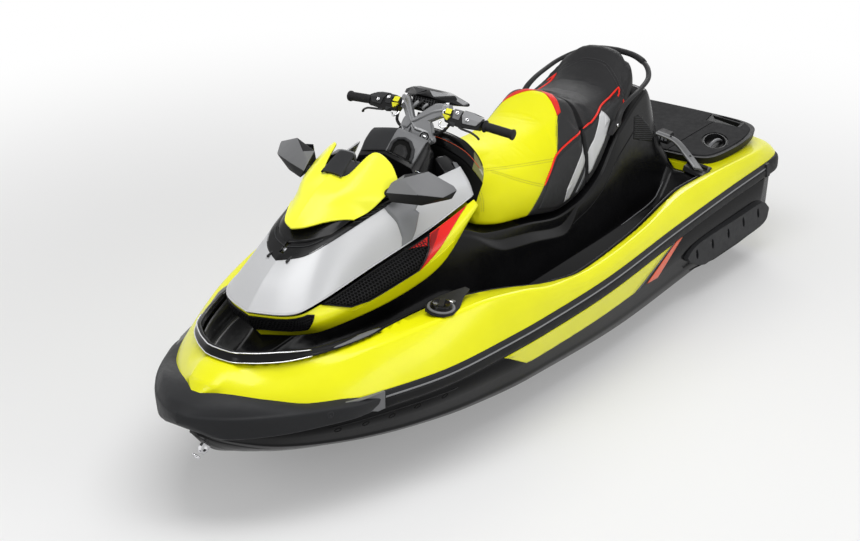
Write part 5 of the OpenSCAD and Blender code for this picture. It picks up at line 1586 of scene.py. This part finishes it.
edging("console_recess_lip", port_face, arch, 3, 7, *DARK_TRIM, flat=.8, closed=False)
film("console_pull", port_face, [(.30, .98), (.28, .80), (.36, .70), (.54, .68), (.68, .80), (.70, .98)], 5,
     *MOULDED, splits=2, thick=5)
DASH = [[[2040, 0, 1044], [2040, 60, 1041], [2035, 110, 1030], [2025, 152, 1010], [2018, 196, 968],
         [2020, 226, 922]],
        [[2062, 0, 1046], [2060, 60, 1041], [2052, 114, 1028], [2040, 160, 1002], [2030, 204, 954],
         [2028, 232, 908]],
        [[2084, 0, 1032], [2080, 56, 1028], [2070, 118, 1012], [2056, 171, 984], [2042, 213, 938],
         [2036, 238, 898]],
        [[2092, 0, 1010], [2090, 60, 1002], [2084, 120, 984], [2072, 172, 956], [2056, 214, 910],
         [2046, 240, 872]]]
dash = both(patch(DASH, 30, 16))
wide, deep = dash.shape[0] - 1, dash.shape[1] - 1
sheet_of("gauge_hood", dash, [deck_black, tint], "hull", "trim_black", 4, ["gauges"],
         which=[int(abs(i - wide / 2 + .5) > wide * .36) for i in range(wide) for _ in range(deep)])
edging("gauge_line", dash, [(k / 40, .66) for k in range(3, 38)], .6, 1.7, orange, "hull", "trim_black",
       closed=False, flat=.5)
edging("gauge_rim", dash, [(k / 40, .01) for k in range(1, 40)], 0, 3, *TRIM, closed=False)
sheet_of("dash_back", both(patch([[[2062, y, 830] for _, y, z in DASH[0]],
                                  [[x + 9, y - 4 * (y > 0), z - 3] for x, y, z in DASH[0]]], 30, 6)),
         *MOULDED, 3)
sheet_of("dash_front", both(patch([[[x - 2, y, z] for x, y, z in DASH[3]],
                                   [[2098, y, 800] for _, y, z in DASH[3]]], 30, 6)), *RECESS, 3)
solid("gauge_panel", [[2053, -126, 900], [2053, 126, 900], [2056, 112, 1020], [2056, -112, 1020]],
      [[2044, -120, 904], [2044, 120, 904], [2048, 106, 1014], [2048, -106, 1014]], lens, "hull",
      "trim_black", 2)
for k, (y, z, r) in enumerate([(0, 962, 42), (-76, 954, 27), (76, 954, 27)]):
    c = np.array([2044 + (z - 904) * .036, y, z])
    turned(f"gauge_dial_{k}", [(0, 0), (r, 0), (r + 3, 2), (r + 2, 4), (r - 1, 3), (r - 3, 1.2), (0, 1.2)],
           c,
           [-1, 0, .04], [lens, mid_grey], "hull", "trim_black", 40, which=[0, 1, 1, 1, 0, 0])
    ticks = []
    for a in [math.radians(26 * j - 130) for j in range(11)]:
        d = np.array([.03 * math.cos(a), -math.sin(a), math.cos(a)])
        ticks.append([c + [-1.9, 0, 0] + d * (r - q) for q in (10, 7, 4)])
    ticks.append([c + np.array([-2, y2, z2]) * [1, r, r] for y2, z2 in ((0, 0), (.3, .3), (.5, .5))])
    strands(f"gauge_ticks_{k}", ticks, 1.0, white_film, "hull", "trim_grey", 4)
for side, s in SIDES:
    # black body beside the console, with a lighter facet
    hull_of(f"{side}_cowl", [[x, s * y, z] for x, y, z in (
        (2092, 128, 850), (2096, 124, 968), (2150, 136, 996), (2214, 136, 1008), (2214, 136, 850),
        (2092, 196, 850), (2088, 186, 928), (2150, 190, 936), (2206, 170, 960), (2210, 186, 850))],
            *TRIM, 5)
    hull_of(f"{side}_cowl_facet", [[x, s * y, z] for x, y, z in (
        (2104, 160, 958), (2108, 186, 934), (2140, 188, 940), (2136, 162, 972), (2100, 186, 900),
        (2136, 190, 900))], *GREY_TRIM, 2)

# ---- Steering: riser, pad, controls, levers and grips -------------------------------------------------
ARMS = [[0, 30, 61], [12, 31, 73], [30, 41, 96], [57, 60, 127], [70, 71, 134], [84, 82, 137], [96, 91, 133],
        [108, 99, 123], [113, 105, 113]]
FEET = [[0, 26, 58], [5, 8, 62], [14, -14, 64], [20, -24, 66], [40, -31, 68], [60, -29, 58], [70, -26, 32],
        [78, -18, 8], [82, -12, -2]]


def riser_x(y):
    return 63.5 - 55 * (abs(y) / 98) ** 1.3


def riser_bar(name, stations, deep, replaces=()):
    """One of the casting's two crossed parts: a ridged band, swept back with its width."""
    fine = line(stations, 30)
    fine = [[-y, a, b] for y, a, b in fine[:0:-1]] + [list(r) for r in fine]
    rings = []
    for y, low, high in fine:
        x, lip = riser_x(y), min(6, (high - low) * .2)
        mid = (low + high) / 2
        rings.append([col(p) for p in ([x - deep, y, low + 2], [x - deep, y, high - 2], [x - 7, y, high],
                                       [x - 1, y, high - lip], [x - 1, y, mid + 7], [x + 4, y, mid],
                                       [x - 1, y, mid - 7], [x - 1, y, low + lip], [x - 7, y, low])])
    return bevelled(loft(name, rings, casting, "steering", "steering_grey", replaces), 1.6, 2, 24)


riser_bar("riser_arms", ARMS, 26, ["steering_riser"])
riser_bar("riser_feet", FEET, 24)
solid("riser_core", [col(p) for p in ((44, -15, -30), (44, 15, -30), (44, 12, 40), (44, -12, 40))],
      [col(p) for p in ((53, -13, -26), (53, 13, -26), (53, 8, 34), (53, -8, 34))], grey, "steering",
      "steering_grey", 2)
for side, s in SIDES:
    hull_of(f"{side}_riser_clamp", [col([x, s * y, z]) for x, y, z in (
        (-24, 80, 86), (-24, 112, 86), (14, 80, 84), (6, 112, 90), (-24, 82, 132), (-24, 110, 132),
        (-16, 84, 140), (-16, 108, 140), (8, 84, 140), (8, 108, 138), (18, 82, 126), (10, 110, 122))],
            casting, "steering", "steering_grey", 3)
    way = unit(turned_way([1, s * .73, .1]))
    turned(f"{side}_riser_bolt", [(0, 0), (11, 0), (12, 3), (9, 7), (6, 7), (5, 3), (0, 3)],
           col([riser_x(98) - 1, s * 98, 107]), way, [chrome, pit_black], "steering", "stainless", 28,
           which=[0, 0, 0, 0, 1, 1])
    turned(f"{side}_clamp_bolt", [(0, 0), (8, 0), (8, 4), (5, 7), (0, 7)], col([2, s * 96, 138]),
           turned_way([.2, 0, 1]), chrome, "steering", "stainless", 20)
    turned(f"{side}_riser_boss",
           [(0, -4), (21, -4), (21, 4), (18, 6), (15, 4), (13, -2), (7, -2), (6, 2), (0, 2)],
           col([riser_x(54) + 1, s * 54, 0]), unit(turned_way([1, s * .6, 0])),
           [casting, pit_black, chrome],
           "steering", "steering_grey", 32, which=[0, 0, 0, 1, 1, 1, 2, 2])
PAD = [(7, 0, 173), (-45, 72, 186), (-29, 98, 176), (-69, 149, 162), (-66, 153, 150), (-50, 137, 146),
       (-1, 60, 143), (24, 34, 150), (22, 0, 158), (-6, 66, 134), (-48, 72, 136)]
hull_of("bar_pad_shell", [col([x, s * y, z]) for s in (1, -1) for x, y, z in PAD], deck_black, "steering",
        "bar_black", 3, ["bar_pad"])
# The pad's facets are mid grey to port and dark to starboard: the dark starboard facets are painted shade.
for side, s, facet_mat_painted_shade_right in (("left", 1, mid_grey), ("right", -1, dark)):
    hull_of(f"{side}_pad_facet", [col([x + o, s * y, z + o]) for o in (-2, 3) for x, y, z in (
        (5, 6, 172), (-30, 92, 174), (-4, 60, 145), (16, 36, 152))], facet_mat_painted_shade_right, "steering", "trim_grey", 1.5)
    hull_of(f"{side}_pad_tip", [col([x + o, s * y, z + o]) for o in (-2, 3) for x, y, z in (
        (-36, 103, 172), (-64, 145, 160), (-50, 134, 148), (-31, 100, 160))], facet_mat_painted_shade_right, "steering",
            "trim_grey", 1.5)
hull_of("bar_pad_core", [col(p) for p in ((16, -52, 96), (16, 52, 96), (18, 56, 144), (18, -56, 144),
                                          (-40, -60, 98), (-40, 60, 98), (-44, 64, 146), (-44, -64, 146))],
        pit_black, "steering", "grille_black", 3)
strands("bar_pad_mesh", [[col([20, y, 98]), col([21, y, 120]), col([22, y, 142])] for y in range(-48, 49,
                                                                                                 12)] +
        [[col([20, -50, h]), col([20, 0, h]), col([20, 50, h])] for h in (104, 114, 124, 134)], 1.8, dark,
        "steering", "trim_black")
for k, (y, h, r) in enumerate([(-26, 112, 7), (-8, 118, 5), (16, 110, 6)]):
    tube(f"pad_fitting_{k}", line([col([22, y - 8, h - 10]), col([28, y, h]), col([24, y + 9, h + 12])],
                                  10), r,
         [mid_grey, powder, mid_grey][k], "steering", "trim_grey", 14)
for side, s in SIDES:
    def beside(*pts, s=s):
        return [bar(p, s) for p in pts]

    # The starboard switch plate and bridge are dark where the port ones are mid grey and grey: painted
    # shade on the starboard side.
    front = mid_grey if s > 0 else dark
    hull_of(f"{side}_switch_body", beside((-30, -20, 32), (-30, -24, 120), (-22, -20, 186), (26, -24, 32),
                                          (34, -14, 120), (24, -14, 187), (30, 28, 40), (34, 34, 104),
                                          (26, 24, 180), (-24, 28, 60), (-20, 22, 176), (30, 2, 28)),
            rubber_black, "steering", "trim_black", 4, [f"{side}_controls"])
    hull_of(f"{side}_switch_plate", beside((-22, -30, 106), (20, -33, 102), (38, -12, 106), (38, 16, 116),
                                           (32, 12, 168), (30, -10, 182), (14, -26, 184), (-18, -24, 180),
                                           (-22, -31, 140), (18, -33, 140)), front, "steering", "trim_grey",
                                           3)
    hull_of(f"{side}_switch_cap", beside((-24, -29, 100), (12, -35, 98), (10, -36, 142), (-22, -33, 146),
                                         (-20, -28, 178), (8, -30, 180)), mid_grey, "steering", "trim_grey",
                                         2)
    hull_of(f"{side}_switch_bridge",
            beside((-20, -27, 64), (18, -31, 62), (35, -18, 66), (36, 8, 70), (36, 8, 98), (34, -14, 100),
                   (20, -32, 98), (-20, -30, 98)), front if s < 0 else grey, "steering", "trim_grey", 3)
    for k, (x, y, z) in enumerate([(35, -2, 132), (32, -16, 84)]):
        turned(f"{side}_switch_bolt_{k}", [(0, 0), (7.5, 0), (7.5, 4), (5, 5), (4, 2), (0, 2)],
               bar([x, y, z], s),
               unit(bar([12, -8, z], s) - bar([0, 0, z], s)), [chrome, pit_black], "steering", "stainless",
               20,
               which=[0, 0, 0, 0, 1])
    hull_of(f"{side}_button_upper",
            beside((28, -24, 32), (30, -24, 58), (37, -6, 60), (36, -4, 36), (22, -24, 34), (22, -26, 56),
                   (30, -4, 34), (30, -4, 58)), button, "steering", "visor_yellow", 2)
    hull_of(f"{side}_button_lower",
            beside((38, 0, 26), (40, 0, 60), (38, 20, 52), (36, 12, 36), (30, 2, 26),
                                           (30, 2, 62), (28, 20, 50)), button, "steering", "visor_yellow",
                                           2)
    hull_of(f"{side}_switch_lip",
            beside((30, 22, 56), (40, 22, 60), (38, 38, 84), (28, 38, 84), (34, 18, 92),
                                         (28, 36, 60)), dark, "steering", "trim_black", 2)
    lever = line(beside((16, 26, 100), (36, 34, 116), (46, 36, 140), (48, 38, 166), (42, 46, 190),
                        (34, 54, 200)),
                 22)
    tube(f"{side}_lever", lever, [7] * 4 + [5] * 16 + [5.6, 6, 4.5], powder, "steering", "bar_black", 12,
         flat=.8)
    hose = line([bar([-2, 28, 52], s), bar([10, 62, 40], s), bar([12, 84, 8], s), col([16, s * 44, 24])],
                20)
    tube(f"{side}_hose", hose, 6, rubber_black, "steering", "trim_black", 12)
    hook = line([bar([26, 30, 24], s), bar([34, 44, 26], s), bar([36, 50, 44], s), bar([30, 40, 56], s)],
                14)
    tube(f"{side}_clip", hook, 4, chrome, "steering", "stainless", 10)
    ribbed = [(0, 0), (17, 0), (23, 1), (24, 4), (23, 7), (17.6, 9)]
    for h in [14 + 7.6 * k for k in range(13)]:
        ribbed += [(16.2, h), (17.6, h + 1.6), (17.6, h + 5), (16.2, h + 6.4)]
    ribbed += [(17.2, 113), (20, 115), (21, 118), (20.6, 123), (18, 125), (0, 125)]
    turned(f"{side}_grip_rubber", ribbed, bar([0, 0, 190], s), bar([0, 0, 191], s) - bar([0, 0, 190], s),
           grip_rub, "steering", "grip_rubber", 32, [f"{side}_grip"])

# ---- CAD parts that keep their own shape ------------------------------------------------------
SLOT_LOOK = {
    "hull_black": black, "topside_yellow": yellow, "fairing_silver": silver, "bumper_grey": dark,
    "bumper_black": rubber_black, "trim_black": deck_black, "trim_grey": grey, "grille_black": mesh_black,
    "mat_black": mat_foam, "seat_yellow": vinyl_yellow, "seat_black": vinyl_black, "webbing": strap_web,
    "visor_yellow": yellow_visor, "grip_rubber": grip_rub, "steering_grey": casting, "bar_black": powder,
    "stainless": chrome, "cast_alloy": alloy, "engine_grey": block_grey, "spring_yellow": spring_paint}
slot_of = {s["node"]: s["material_slot"] for s in frame["record"]["subparts"]}
for name, ob in node.items():
    if not ob.hide_render:
        ob.data.materials.clear()
        ob.data.materials.append(SLOT_LOOK[slot_of[name]])

scene.view_settings.view_transform = "Standard"
